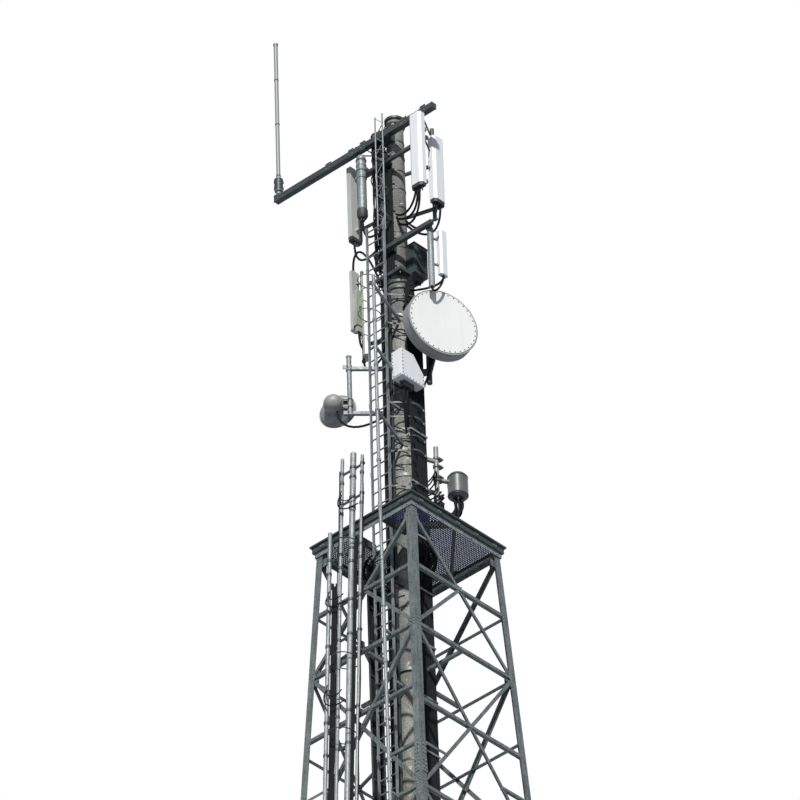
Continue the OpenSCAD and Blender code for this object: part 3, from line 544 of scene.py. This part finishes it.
def platform_hardware():
    """Splice plates and bolts on the edge frame, and bolts along the top ring."""
    plates, bolts = Shape(), Shape()
    frame_low, frame_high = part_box("platform_frame")
    ring_low, ring_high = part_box("tower_top_ring")
    web = frame_high.x - 0.030
    for side in range(4):
        turn = face_turn(side)
        normal = turn @ Vector((0, -1, 0))
        for u in (-0.9, -0.45, 0.0, 0.45, 0.9):
            mid = (frame_low.z + frame_high.z - 0.032) / 2
            plates.box(turn @ Vector((u, -web - 0.003, mid)), (0.10, 0.006, 0.09), turn)
            for dx in (-0.028, 0.028):
                bolts.bolt(turn @ Vector((u + dx, -web - 0.006, mid)), normal, 0.011)
        for u in (-1.0, -0.7, -0.35, 0.35, 0.7, 1.0):
            mid = (ring_low.z + ring_high.z) / 2 - 0.01
            bolts.bolt(turn @ Vector((u, -ring_high.x, mid)), normal, 0.012)
    plates.build("platform_splices", "dark_steel")
    bolts.build("platform_bolts", "bright_zinc", smooth=BOLT_SMOOTH)


# ---------------------------------------------------------------- mast

def mast_details():
    """Strap bands and buckles on the mast above the deck, and formwork joints below it."""
    straps, clips = Shape(), Shape()
    for rise in (0.9, 1.55, 2.1, 2.6, 3.4, 4.3, 5.1):
        z = DECK_Z + rise
        radius = mast_radius(z) + 0.012
        straps.turned((0, 0, z - 0.012), UP, [(0, radius), (0.024, radius)], 48)
        for a in (20, 70, 250, 300):
            t = math.radians(a)
            out = radius + 0.006
            clips.box((math.cos(t) * out, math.sin(t) * out, z), (0.022, 0.035, 0.045), about_z(t))
    for z in (2.5, 5.6, 8.7, 11.8, 14.9):
        radius = mast_radius(z) + 0.006
        straps.turned((0, 0, z - 0.02), UP, [(0, radius), (0.04, radius)], 48)
    straps.build("mast_straps", "dark_steel")
    clips.build("strap_buckles", "dark_steel")


# ---------------------------------------------------------------- antennas

def cap_bolts(shape, centre, normal, radius, count, size, start=0.0):
    """Ring of bolts on a flat face."""
    u, v, w = frame_of(normal)
    for k in range(count):
        a = 2 * math.pi * k / count + start
        shape.bolt(Vector(centre) + (u * math.cos(a) + v * math.sin(a)) * radius, w, size)


def box_of(name):
    low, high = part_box(name)
    return low, high, (low + high) / 2


def drum_details():
    """Straps round the big drum dish, and bolts on its face and rim."""
    rivets, strap = Shape(), Shape()
    low, high, centre = box_of("drum_dish_face")
    turn = math.radians(DISH_TURN)
    normal = Vector((math.cos(turn), math.sin(turn), 0))
    radius = (high.z - low.z) / 2
    cap_bolts(rivets, centre + normal * 0.007, normal, radius - 0.022, 36, 0.008)
    u, v, _ = frame_of(normal)
    for k in range(24):
        a = 2 * math.pi * (k + 0.5) / 24
        out = u * math.cos(a) + v * math.sin(a)
        rivets.bolt(centre + out * (radius + 0.0225) - normal * 0.055, out, 0.007, washer=False)
    strap.ring(centre - normal * 0.028, normal, radius + 0.026, 0.005, 72, 6)
    strap.ring(centre - normal * 0.150, normal, radius + 0.024, 0.004, 72, 6)
    rivets.build("drum_rivets", "dark_steel", smooth=BOLT_SMOOTH)
    strap.build("drum_strap", "galvanised")


def flat_antenna_details():
    """Bolts round the edge of the flat antenna's front and left side."""
    bolts = Shape()
    low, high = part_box("flat_antenna")
    depth, width, height = high - low
    for k in range(7):
        t = (k + 0.5) / 7
        bolts.bolt((high.x, low.y + 0.02 + t * (width - 0.04), low.z + 0.022), (1, 0, 0), 0.007)
        bolts.bolt((high.x, low.y + 0.022, low.z + 0.02 + t * (height - 0.04)), (1, 0, 0), 0.007)
        bolts.bolt((low.x + 0.02 + t * (depth - 0.04), low.y, low.z + 0.022), (0, -1, 0), 0.007)
        bolts.bolt((low.x + 0.022, low.y, low.z + 0.02 + t * (height - 0.04)), (0, -1, 0), 0.007)
        if t < 0.42:
            bolts.bolt((high.x, high.y - 0.022, low.z + 0.02 + t * (height - 0.04)), (1, 0, 0), 0.007)
    bolts.build("flat_antenna_bolts", "dark_steel", smooth=BOLT_SMOOTH)
    glands = Shape()
    for y in (0.14, 0.22, 0.30, 0.38):
        glands.turned((low.x + 0.07, low.y + y, low.z), DOWN, [(0, 0.022), (0.03, 0.022), (0.06, 0.016)], 16)
    glands.build("flat_antenna_glands", "end_cap")


def panel_details():
    """Connectors and clamps on the panel antennas, and the canister's bands and foot."""
    plugs, clamps = Shape(), Shape()
    # node, the axis its connectors are spread along, and their number
    rows = (("panel_antenna_a", 0, 4), ("panel_antenna_b", 1, 4), ("panel_antenna_c", 1, 2))
    for name, along, count in rows:
        low, high, mid = box_of(name)
        body = Vector((mid.x, mid.y, low.z - 0.06))
        for k in range(count):
            at = body.copy()
            at[along] += (k - (count - 1) / 2) * 0.052
            plugs.turned(at, DOWN, [(0, 0.017), (0.035, 0.017), (0.036, 0.012), (0.085, 0.012)], 12)
    for name in ("panel_antenna_a", "panel_antenna_b"):
        low, high, mid = box_of(name)
        for z in (low.z + 0.18, high.z - 0.22):
            pole = POLE_A if name == "panel_antenna_a" else POLE_B
            clamps.ring((pole[0], pole[1], z + 0.02), UP, pole[2] + 0.010, 0.008, 28, 8)
            clamps.ring((pole[0], pole[1], z - 0.03), UP, pole[2] + 0.010, 0.008, 28, 8)
            clamps.box((pole[0], pole[1], z - 0.005), (2.6 * pole[2], 2.6 * pole[2], 0.018))
    low, high, mid = box_of("canister_antenna")
    for drop in (0.10, 0.115, 0.34, 0.50):
        clamps.ring((mid.x, low.y + CANISTER_R + 0.008, high.z - drop), UP, CANISTER_R + 0.006, 0.006, 36, 6)
    for k in range(5):
        a = 2 * math.pi * k / 5
        plugs.turned((mid.x + 0.035 * math.cos(a), low.y + CANISTER_R + 0.035 * math.sin(a), low.z), DOWN,
                     [(0, 0.014), (0.07, 0.012)], 10)
    foot = Vector((mid.x, low.y + CANISTER_R + 0.008, low.z))
    foot_profile = [(0, 0.070), (0.05, 0.095), (0.17, 0.095), (0.19, 0.088)]
    plugs.turned(foot + Vector((0, 0, -0.01)), UP, foot_profile, 32)
    for name in ("left_panels", "slim_antenna"):
        low, high, mid = box_of(name)
        plugs.turned((mid.x, mid.y, low.z + 0.002), DOWN, [(0, 0.02), (0.05, 0.016)], 12)
    plugs.build("antenna_connectors", "end_cap")
    clamps.build("antenna_clamps", "galvanised")


def whip_details():
    """Clamp bands, sleeve seams and joints on the whip antenna."""
    bands = Shape()
    low, _, mid = box_of("whip_antenna")
    foot = Vector((mid.x, mid.y, low.z))
    # height above the foot and radius of each band: four on the sleeve, three up the rod
    placed = ((0.15, 0.074), (0.22, 0.074), (0.29, 0.074), (0.35, 0.074),
              (0.45, 0.037), (1.6, 0.036), (2.6, 0.036))
    for rise, radius in placed:
        profile = [(0, radius), (0.003, radius + 0.006), (0.019, radius + 0.006), (0.022, radius)]
        bands.turned(foot + Vector((0, 0, rise)), UP, profile, 28)
    for a in (0.5, 2.6, 4.4):
        out = Vector((math.cos(a), math.sin(a), 0))
        for rise in (0.16, 0.30):
            bands.box(foot + out * 0.080 + Vector((0, 0, rise)), (0.018, 0.03, 0.05), about_z(a))
    bands.turned(foot + Vector((0, 0, 0.125)), UP, [(0, 0.0755), (0.24, 0.0755)], 32)
    bands.build("whip_bands", "dark_steel")


def beam_details():
    """U-bolts and clamp plates on the top beam, and a plate over each of its ends."""
    steel, bolts = Shape(), Shape()
    low, high, mid = box_of("top_beam")
    half = (high.y - low.y) / 2
    for x in (low.x + 0.06, low.x + 1.3, -0.70, -0.42, 0.55, 1.0):
        for dx in (-0.045, 0.045):
            steel.box((x + dx, mid.y, high.z + 0.005), (0.016, 2 * half + 0.04, 0.010))
            steel.box((x + dx, low.y - 0.006, mid.z), (0.016, 0.012, 2 * half + 0.02))
            bolts.bolt((x + dx, low.y - 0.012, low.z + 0.02), (0, -1, 0), 0.010)
            bolts.bolt((x + dx, low.y - 0.012, high.z - 0.02), (0, -1, 0), 0.010)
        steel.box((x, low.y - 0.004, mid.z), (0.13, 0.008, 2 * half + 0.05))
    for x in (low.x - 0.003, high.x + 0.003):
        steel.box((x, mid.y, mid.z), (0.006, 2 * half + 0.008, 2 * half + 0.008))
    steel.build("beam_u_bolts", "dark_steel")
    bolts.build("beam_bolts", "bright_zinc", smooth=BOLT_SMOOTH)


def upper_mast_clutter():
    """Bands, cable loops and small clamps round the upper mast, and its top ring."""
    rng = random.Random(11)
    steel, cables, bright = Shape(), Shape(), Shape()
    top = box_of("mast_upper")[1].z
    base = COLLAR_Z + 0.04
    for rise in (0.30, 0.62, 0.95, 1.5, 1.9, 2.3, 2.62, 2.95, 3.3):
        z = base + rise
        radius = 0.172 - 0.004 * rise
        steel.turned((0, 0, z), UP, [(0, radius), (0.022, radius + 0.001), (0.024, radius)], 40)
        a = rng.uniform(-2.4, -0.2)
        out = radius + 0.008
        bright.box((math.cos(a) * out, math.sin(a) * out, z + 0.012), (0.026, 0.04, 0.04), about_z(a))
        bright.bolt((math.cos(a) * (radius + 0.020), math.sin(a) * (radius + 0.020), z + 0.012),
                    (math.cos(a), math.sin(a), 0), 0.010)
    steel.ring((0, 0, top - 0.10), UP, 0.172, 0.012, 40, 8)
    for k in range(9):
        # loose loops that leave the bundle and come back to it
        z = base + 0.45 + k * 0.33
        side = rng.uniform(-0.16, 0.06)
        cables.cable([
            (side, -0.21, z),
            (side - 0.22, -0.36, z - 0.12),
            (side - 0.18, -0.34, z - 0.42),
            (side + 0.02, -0.20, z - 0.52),
        ], 0.011)
    for k in range(4):
        z = top - 0.25 - 0.17 * k
        cables.cable([
            (-0.10, -0.16, z),
            (-0.42, -0.25, z + 0.22),
            (-0.44, -0.24, z - 0.10),
            (-0.14, -0.17, z - 0.24),
        ], 0.012)
    for _ in range(14):
        # long runs that fill out the bundle, left of the mast
        x, y = rng.uniform(-0.33, -0.12), rng.uniform(-0.25, -0.17)
        cables.sweep([Vector((x + rng.uniform(-0.014, 0.014), y + rng.uniform(-0.010, 0.010),
                              top - 0.22 - 0.30 * j)) for j in range(11)], 0.012, 8)
    for k in range(16):
        # slack lengths tied along the bundle, left of the mast
        z = top - 0.30 - 0.21 * k
        x = rng.uniform(-0.34, -0.18)
        cables.cable([
            (x + 0.10, -0.16, z),
            (x - 0.03, -0.27, z - 0.06),
            (x - 0.02, -0.25, z - 0.30),
            (x + 0.11, -0.17, z - 0.36),
        ], 0.014, steps=14, sides=8)
    for k in range(5):
        # short jumpers from the beam down to the bundle
        x = -0.62 + 0.22 * k
        cables.cable([
            (x, -0.33, top - 0.36),
            (x, -0.36, top - 0.75),
            (-0.15, -0.26, top - 0.62),
            (-0.06, -0.20, top - 0.95),
        ], 0.011)
    steel.build("upper_bands", "dark_steel")
    bright.build("upper_clips", "bright_zinc")
    cables.build("upper_loops", "cable_black")


def feeder_details():
    """Strap bands round mast and feeder bundle, cable ties and stray loops above the deck."""
    rng = random.Random(5)
    bands, ties, loops = Shape(), Shape(), Shape()
    for rise in (1.05, 1.75, 2.05, 2.45, 2.75, 3.6, 4.5, 5.15):
        z = DECK_Z + rise
        radius = mast_radius(z)
        points = []
        for k in range(48):
            a = 2 * math.pi * k / 48
            # the band bulges out over the feeders on the +X flank
            bulge = 0.105 * max(0.0, math.cos(a)) ** 2 + 0.14 * max(0.0, -math.sin(a + 0.05)) ** 6
            r = radius + 0.014 + bulge
            points.append(Vector((math.cos(a) * r, math.sin(a) * r, z + 0.05 * math.sin(a + rise))))
        rings = []
        for k, p in enumerate(points):
            out = Vector((p.x, p.y, 0)).normalized()
            rings.append([p + out * 0.002 + Vector((0, 0, h)) for h in (-0.016, 0.016)]
                         + [p - out * 0.002 + Vector((0, 0, h)) for h in (0.016, -0.016)])
        bands.loft(rings + rings[:1], closed_ends=False)
        for a in (-0.6, 0.45, -1.45):
            k = round((a % (2 * math.pi)) / (2 * math.pi) * 48) % 48
            out = Vector((points[k].x, points[k].y, 0)).normalized()
            turn = about_z(math.atan2(out.y, out.x))
            ties.box(points[k] + out * 0.008, (0.018, 0.04, 0.04), turn)
            ties.bolt(points[k] + out * 0.024, out, 0.009)
    for k in range(26):
        z = DECK_Z + 0.25 + k * 0.19
        y = rng.choice((-0.18, -0.14, -0.10, -0.02, 0.06))
        x = mast_radius(z) + FEEDER_GAP
        loops.cable([
            (x, y, z),
            (x + 0.05, y - 0.02, z - 0.04),
            (x + 0.05, y + 0.07, z - 0.10),
            (x, y + 0.08, z - 0.14),
        ], 0.009, steps=12, sides=8)
    for k in range(12):
        z = DECK_Z + 0.5 + k * 0.40
        side = rng.uniform(-0.02, 0.08)
        loops.cable([
            (side - 0.08, -mast_radius(z) - 0.08, z),
            (side + 0.02, -mast_radius(z) - 0.14, z - 0.1),
            (side + 0.10, -mast_radius(z) - 0.05, z - 0.22),
            (side + 0.20, -mast_radius(z) * 0.86, z - 0.26),
        ], 0.010, steps=14, sides=8)
    bands.build("feeder_straps", "dark_steel")
    ties.build("strap_screws", "galvanised")
    loops.build("feeder_loops", "cable_black")


def ladder_details():
    """Hoops on both ladders, and clips down the lower one's stiles."""
    hoops, clips = Shape(), Shape()
    _, high, mid = box_of("ladder_lower")
    upper_low, _, upper = box_of("ladder_upper")
    for z in (upper_low.z + 0.9, upper_low.z + 1.7):
        hoops.ring((upper.x, upper_low.y + 0.02, z), UP, 0.13, 0.007, 32, 6)
    for rise in (4.72, 5.45):
        y = -(mast_radius(DECK_Z + rise) + 0.26)
        hoops.ring((mid.x - 0.14, y - 0.06, DECK_Z + rise), (0.15, 0.1, 1), 0.20, 0.009, 40, 8)
    z = 1.7
    while z < high.z - 0.5:
        y = -(mast_radius(z) + 0.30)
        for s in (-1, 1):
            clips.box((mid.x + s * 0.205, y + 0.02, z), (0.012, 0.07, 0.09))
            clips.bolt((mid.x + s * 0.211, y + 0.02, z), (s, 0, 0), 0.009)
        z += 1.45
    hoops.build("ladder_hoops", "galvanised")
    clips.build("ladder_clips", "galvanised")


def side_pole_details():
    """Couplers, shackles, loops of cable and ties on the poles outside the lattice."""
    rng = random.Random(3)
    steel, cables, bright = Shape(), Shape(), Shape()
    high = box_of("side_poles")[1]
    xs, rs = SIDE_X, SIDE_R

    def spot(x, z, out=0.0):
        return Vector((x, -(half_at(z) + SIDE_OFF + out), z))

    for z in (2.0, 4.6, 7.4, 9.8, 12.3, 14.6, 15.4, 16.55, 17.2):
        for i in range(4):
            if z > DECK_Z and i == 0:
                continue
            top = high.z - 0.1
            if z < top:
                steel.turned(spot(xs[i], z), (0, -BATTER, 1), [(0, rs[i] + 0.009), (0.05, rs[i] + 0.009)], 24)
                bright.bolt(spot(xs[i], z + 0.025, rs[i] + 0.006), (0, -1, 0), 0.010)
    for z in (5.8, 9.3, 11.9, 13.45, 15.85):
        centre = spot((xs[1] + xs[2]) / 2, z, -0.02)
        steel.ring(centre, (0.1, 0.12, 1), 0.235, 0.010, 44, 8)
    for z, size in ((12.95, 0.34), (14.9, 0.24), (16.9, 0.30)):
        start = spot(xs[0] + 0.02 if z < DECK_Z else xs[1], z, 0.06)
        cables.cable([
            start,
            start + Vector((-0.10, -0.06, -size)),
            start + Vector((0.28, -0.08, -size * 1.5)),
            start + Vector((0.42, 0, -size * 1.1)),
        ], 0.012)
        cables.cable([
            start + Vector((0.05, 0, 0.1)),
            start + Vector((0.0, -0.08, -size * 0.6)),
            start + Vector((0.3, -0.08, -size)),
            start + Vector((0.36, 0, -size * 0.4)),
        ], 0.010)
    for i, x in ((1, xs[1] - 0.045), (3, xs[3] + 0.045)):
        points = [spot(x + rng.uniform(-0.012, 0.012), z, 0.01) for z in
                  [high.z - 0.25 - 0.42 * k for k in range(24)]]
        cables.sweep(points, 0.009, 8)
    steel.build("side_pole_couplers", "dark_steel")
    bright.build("side_pole_bolts", "bright_zinc", smooth=BOLT_SMOOTH)
    cables.build("side_pole_loops", "cable_black")


def small_dish_details():
    """Rim bead, back ribs, bolts and pole clamps of the small dish."""
    metal, bolts = Shape(), Shape()
    turn = math.radians(SMALL_TURN)
    mouth = Vector((math.cos(turn), math.sin(turn), 0))
    ball = SMALL_BALL
    u, v, _ = frame_of(mouth)
    radius = SMALL_R
    metal.ring(ball + mouth * 0.243, mouth, radius + 0.004, 0.011, 56, 8)
    for k in range(12):
        a = 2 * math.pi * k / 12 + 0.15
        out = u * math.cos(a) + v * math.sin(a)
        start, end = ball + mouth * 0.080 + out * 0.12, ball + mouth * 0.222 + out * (radius - 0.012)
        metal.tube(start, end, 0.007, 8)
        bolts.bolt(ball + mouth * 0.234 + out * (radius - 0.004), -mouth, 0.008)
    for k in range(8):
        a = 2 * math.pi * k / 8
        out = u * math.cos(a) + v * math.sin(a)
        bolts.bolt(ball + mouth * 0.058 + out * 0.105, -mouth, 0.009)
    metal.ring(ball + mouth * 0.012, mouth, 0.171, 0.005, 48, 6)
    metal.build("small_dish_rim", "small_dish_grey")
    bolts.build("small_dish_bolts", "bright_zinc", smooth=BOLT_SMOOTH)
    plates, screws = Shape(), Shape()
    low, high, _ = box_of("small_dish_mount")
    pole = SMALL_POLE
    for z in (low.z + 0.06, low.z + 0.19, low.z + 0.35, high.z - 0.24):
        plates.ring((pole[0], pole[1], z), UP, 0.049, 0.008, 28, 8)
        plates.box((pole[0] - 0.02, pole[1] - 0.055, z), (0.12, 0.012, 0.07), about_z(0.8))
        screws.bolt((pole[0] + 0.03, pole[1] - 0.07, z), (0.3, -1, 0), 0.010)
        screws.bolt((pole[0] - 0.07, pole[1] - 0.04, z), (0.3, -1, 0), 0.010)
    plates.build("small_dish_clamps", "galvanised")
    screws.build("small_dish_screws", "bright_zinc", smooth=BOLT_SMOOTH)


def radio_details():
    """Fins, connectors, clamps and cables of the radio by the deck, and fins of the left radio."""
    fins, plugs, cables = Shape(), Shape(), Shape()
    low, high, mid = box_of("radio_unit")
    radius = (high.x - low.x) / 2
    for k in range(26):
        a = 2 * math.pi * k / 26
        out = Vector((math.cos(a), math.sin(a), 0))
        at = Vector((mid.x, mid.y, low.z + 0.24)) + out * (radius + 0.003)
        fins.box(at, (0.018, 0.006, 0.36), about_z(a))
    for z in (low.z + 0.06, high.z - 0.075):
        fins.ring((mid.x, mid.y, z), UP, radius + 0.006, 0.009, 48, 8)
    for k in range(5):
        a = 2 * math.pi * k / 5 + 0.4
        at = Vector((mid.x + 0.07 * math.cos(a), mid.y + 0.07 * math.sin(a), low.z))
        plugs.turned(at, DOWN, [(0, 0.024), (0.03, 0.024), (0.032, 0.017), (0.08, 0.017)], 14)
    post = Vector((RADIO_POLE[0], RADIO_POLE[1], 0))
    for rise in (1.08, 1.20, 1.55, 1.62, 1.84, 2.0):
        fins.turned(post + Vector((0, 0, DECK_Z + rise)), UP, [(0, 0.060), (0.045, 0.060)], 24)
        fins.box(post + Vector((0.03, 0.05, DECK_Z + rise + 0.02)), (0.09, 0.10, 0.03))
    for k, reach in enumerate((0.30, 0.36, 0.42, 0.26, 0.47)):
        a = 2 * math.pi * k / 5 + 0.4
        start = Vector((mid.x + 0.07 * math.cos(a), mid.y + 0.07 * math.sin(a), low.z - 0.06))
        cables.cable([
            start,
            start + Vector((0.03, 0.06, -reach)),
            post + Vector((0.14 + 0.03 * k, 0.10, DECK_Z + 0.66 - 0.04 * k)),
            post + Vector((-0.02, -0.05, DECK_Z + 1.10 + 0.03 * k)),
        ], 0.020, sides=12)
    for k in range(7):
        a = 0.9 * k
        start = post + Vector((0.05 * math.cos(a), 0.05 * math.sin(a), DECK_Z + 1.17 + 0.08 * k))
        cables.cable([
            start,
            start + Vector((0.16, 0.10 - 0.05 * k, 0.06)),
            start + Vector((0.10, -0.14, -0.26)),
            Vector((0.16, 0.24, DECK_Z + 0.82 + 0.09 * k)),
        ], 0.013, sides=10)
    for k in range(4):
        at = post + Vector((0.06 - 0.05 * k, 0.02 + 0.05 * k, DECK_Z + 1.0 - 0.05 * k))
        plugs.box(at, (0.07, 0.09, 0.08), about_z(0.5 * k))
    low, high, mid = box_of("left_radio")
    for k in range(9):
        at = (low.x - 0.004, low.y + 0.03 + 0.018 * k, (low.z + high.z) / 2)
        fins.box(at, (0.012, 0.005, (high.z - low.z) * 0.62))
    fins.build("radio_fins", "radio_grey")
    plugs.build("radio_connectors", "end_cap")
    cables.build("radio_tails", "cable_black")


def equipment_details():
    """Cooling fins, lid and cable tails of the equipment box by the collar."""
    metal, cables = Shape(), Shape()
    low, high, mid = box_of("equipment_box")
    for k in range(11):
        y = low.y + 0.03 + k * (high.y - low.y - 0.06) / 10
        metal.box((high.x + 0.009, y, mid.z), (0.018, 0.007, (high.z - low.z) * 0.8))
    for k in range(8):
        x = low.x + 0.03 + k * (high.x - low.x - 0.06) / 7
        metal.box((x, low.y - 0.008, mid.z + 0.05), (0.007, 0.016, (high.z - low.z) * 0.7))
    metal.box((mid.x, mid.y, high.z + 0.006), (high.x - low.x + 0.03, high.y - low.y + 0.03, 0.012))
    for k in range(5):
        x = low.x + 0.04 + 0.04 * k
        cables.cable([
            (x, low.y + 0.03, low.z + 0.01),
            (x + 0.02, low.y - 0.16, low.z - 0.25),
            (x + 0.05, low.y - 0.10, low.z - 0.52),
            (mast_radius(low.z) * 0.9, -0.08 - 0.02 * k, low.z - 0.8),
        ], 0.014)
    metal.build("equipment_fins", "dark_steel")
    cables.build("equipment_tails", "cable_black")


def under_deck_details():
    """Bolted cleats and cable loops on the platform's underside."""
    rng = random.Random(9)
    steel, cables = Shape(), Shape()
    low, _, mid = box_of("platform_joists")
    for side in range(4):
        turn = face_turn(side)
        for u in (-0.10, 0.10):
            steel.box(turn @ Vector((u, -1.03, mid.z)), (0.14, 0.06, 0.09), turn)
            steel.bolt(turn @ Vector((u, -1.03, mid.z - 0.045)), DOWN, 0.012)
    for _ in range(8):
        x = rng.uniform(-0.40, 0.10)
        z = low.z - 0.05
        cables.cable([
            (x, -0.46, z),
            (x - 0.25, -0.70, z - 0.35),
            (x - 0.05, -0.62, z - 0.75),
            (x + 0.15, -0.34, z - 0.90),
        ], 0.013)
    for _ in range(6):
        y = rng.uniform(-0.2, 0.2)
        cables.cable([
            (0.46, y, low.z - 0.02),
            (0.62, y + 0.1, low.z - 0.30),
            (0.50, y, low.z - 0.60),
            (mast_radius(low.z) + 0.06, y * 0.6, low.z - 0.85),
        ], 0.013)
    steel.build("joist_cleats", "dark_steel")
    cables.build("under_deck_loops", "cable_black")


def conduit_details():
    """Couplers and clips on the front conduit."""
    metal = Shape()
    x_top, y_top = CONDUIT_AT
    for rise in (0.9, 1.95, 2.9, 3.85, 4.6):
        metal.turned((x_top, y_top, DECK_Z + rise), UP, [(0, 0.040), (0.05, 0.040)], 24)
        metal.bolt((x_top + 0.03, y_top - 0.03, DECK_Z + rise + 0.025), (1, -1, 0), 0.009)
    for drop in (1.2, 2.2, 3.4, 4.6, 5.9, 7.4, 9.0, 11.0, 13.0):
        z = DECK_Z - drop
        at = (x_top + BATTER * drop, y_top - BATTER * drop, z)
        metal.turned(at, (BATTER, -BATTER, 1), [(0, 0.040), (0.05, 0.040)], 24)
    metal.build("conduit_couplers", "galvanised")


# ---------------------------------------------------------------- camera, light, floor

AZIMUTH, ELEVATION, ROLL = 42.0, -37.0, 1.8
DISTANCE, LENS, SENSOR = 150.7, 400.0, 36.0
AIM_HEIGHT, AIM_SIDE = DECK_Z + 3.09, -0.055
SUN_FROM, SUN_STRENGTH, SUN_WIDTH = Vector((0.50, -0.62, 0.60)), 4.8, 2
AMBIENT_STRENGTH = 0.42
# small enough not to hide the tower from the camera, which looks up from below it
FLOOR_R, FLOOR_THICK = 9.0, 0.06


def make_camera():
    a, e, roll = (math.radians(v) for v in (AZIMUTH, ELEVATION, ROLL))
    back = Vector((math.sin(a) * math.cos(e), -math.cos(a) * math.cos(e), math.sin(e)))
    right = Vector((math.cos(a), math.sin(a), 0))
    up = back.cross(right)
    turned_right = right * math.cos(roll) - up * math.sin(roll)
    turned_up = right * math.sin(roll) + up * math.cos(roll)
    aim = Vector((0, 0, AIM_HEIGHT)) + right * AIM_SIDE
    data = bpy.data.cameras.new("camera")
    data.lens, data.sensor_width = LENS, SENSOR
    data.clip_start, data.clip_end = 10.0, 500.0
    cam = bpy.data.objects.new("camera", data)
    turn = Matrix((turned_right, turned_up, back)).transposed()
    cam.matrix_world = Matrix.Translation(aim + back * DISTANCE) @ turn.to_4x4()
    bpy.context.scene.collection.objects.link(cam)
    bpy.context.scene.camera = cam


def make_light():
    data = bpy.data.lights.new("sun", "SUN")
    data.energy, data.angle, data.color = SUN_STRENGTH, math.radians(SUN_WIDTH), (1.0, 0.97, 0.93)
    sun = bpy.data.objects.new("sun", data)
    sun.rotation_mode = "QUATERNION"
    sun.rotation_quaternion = SUN_FROM.to_track_quat("Z", "Y")
    bpy.context.scene.collection.objects.link(sun)
    world = bpy.data.worlds.new("studio")
    bpy.context.scene.world = world
    world.use_nodes = True
    tree = world.node_tree
    ambient = tree.nodes["Background"]
    ambient.inputs["Color"].default_value = (0.80, 0.88, 1.0, 1)
    ambient.inputs["Strength"].default_value = AMBIENT_STRENGTH
    backdrop = tree.nodes.new("ShaderNodeBackground")
    backdrop.inputs["Color"].default_value = (1, 1, 1, 1)
    seen = tree.nodes.new("ShaderNodeLightPath").outputs["Is Camera Ray"]
    both = tree.nodes.new("ShaderNodeMixShader")
    tree.links.new(seen, both.inputs[0])
    tree.links.new(ambient.outputs[0], both.inputs[1])
    tree.links.new(backdrop.outputs[0], both.inputs[2])
    tree.links.new(both.outputs[0], tree.nodes["World Output"].inputs["Surface"])
    bpy.context.scene.view_settings.view_transform = "Standard"


def make_floor():
    floor = Shape()
    floor.turned((0, 0, -FLOOR_THICK), UP, [(0, FLOOR_R), (FLOOR_THICK, FLOOR_R)], 96)
    mesh = bpy.data.meshes.new("floor")
    mesh.from_pydata(floor.verts, [], floor.faces)
    tone = Surface("floor_plain", 0.9)
    wash = tone.ramp(tone.noise(0.8, 3), [(0.3, (0.80, 0.80, 0.79)), (0.7, (0.84, 0.84, 0.83))])
    mesh.materials.append(tone.done(wash))
    obj = bpy.data.objects.new("floor", mesh)
    bpy.context.scene.collection.objects.link(obj)


make_camera()
make_light()
make_floor()
dress_cad_nodes()
lattice_hardware()
foot_hardware()
deck_grating()
platform_hardware()
mast_details()
drum_details()
flat_antenna_details()
panel_details()
whip_details()
beam_details()
upper_mast_clutter()
feeder_details()
ladder_details()
side_pole_details()
small_dish_details()
radio_details()
equipment_details()
under_deck_details()
conduit_details()
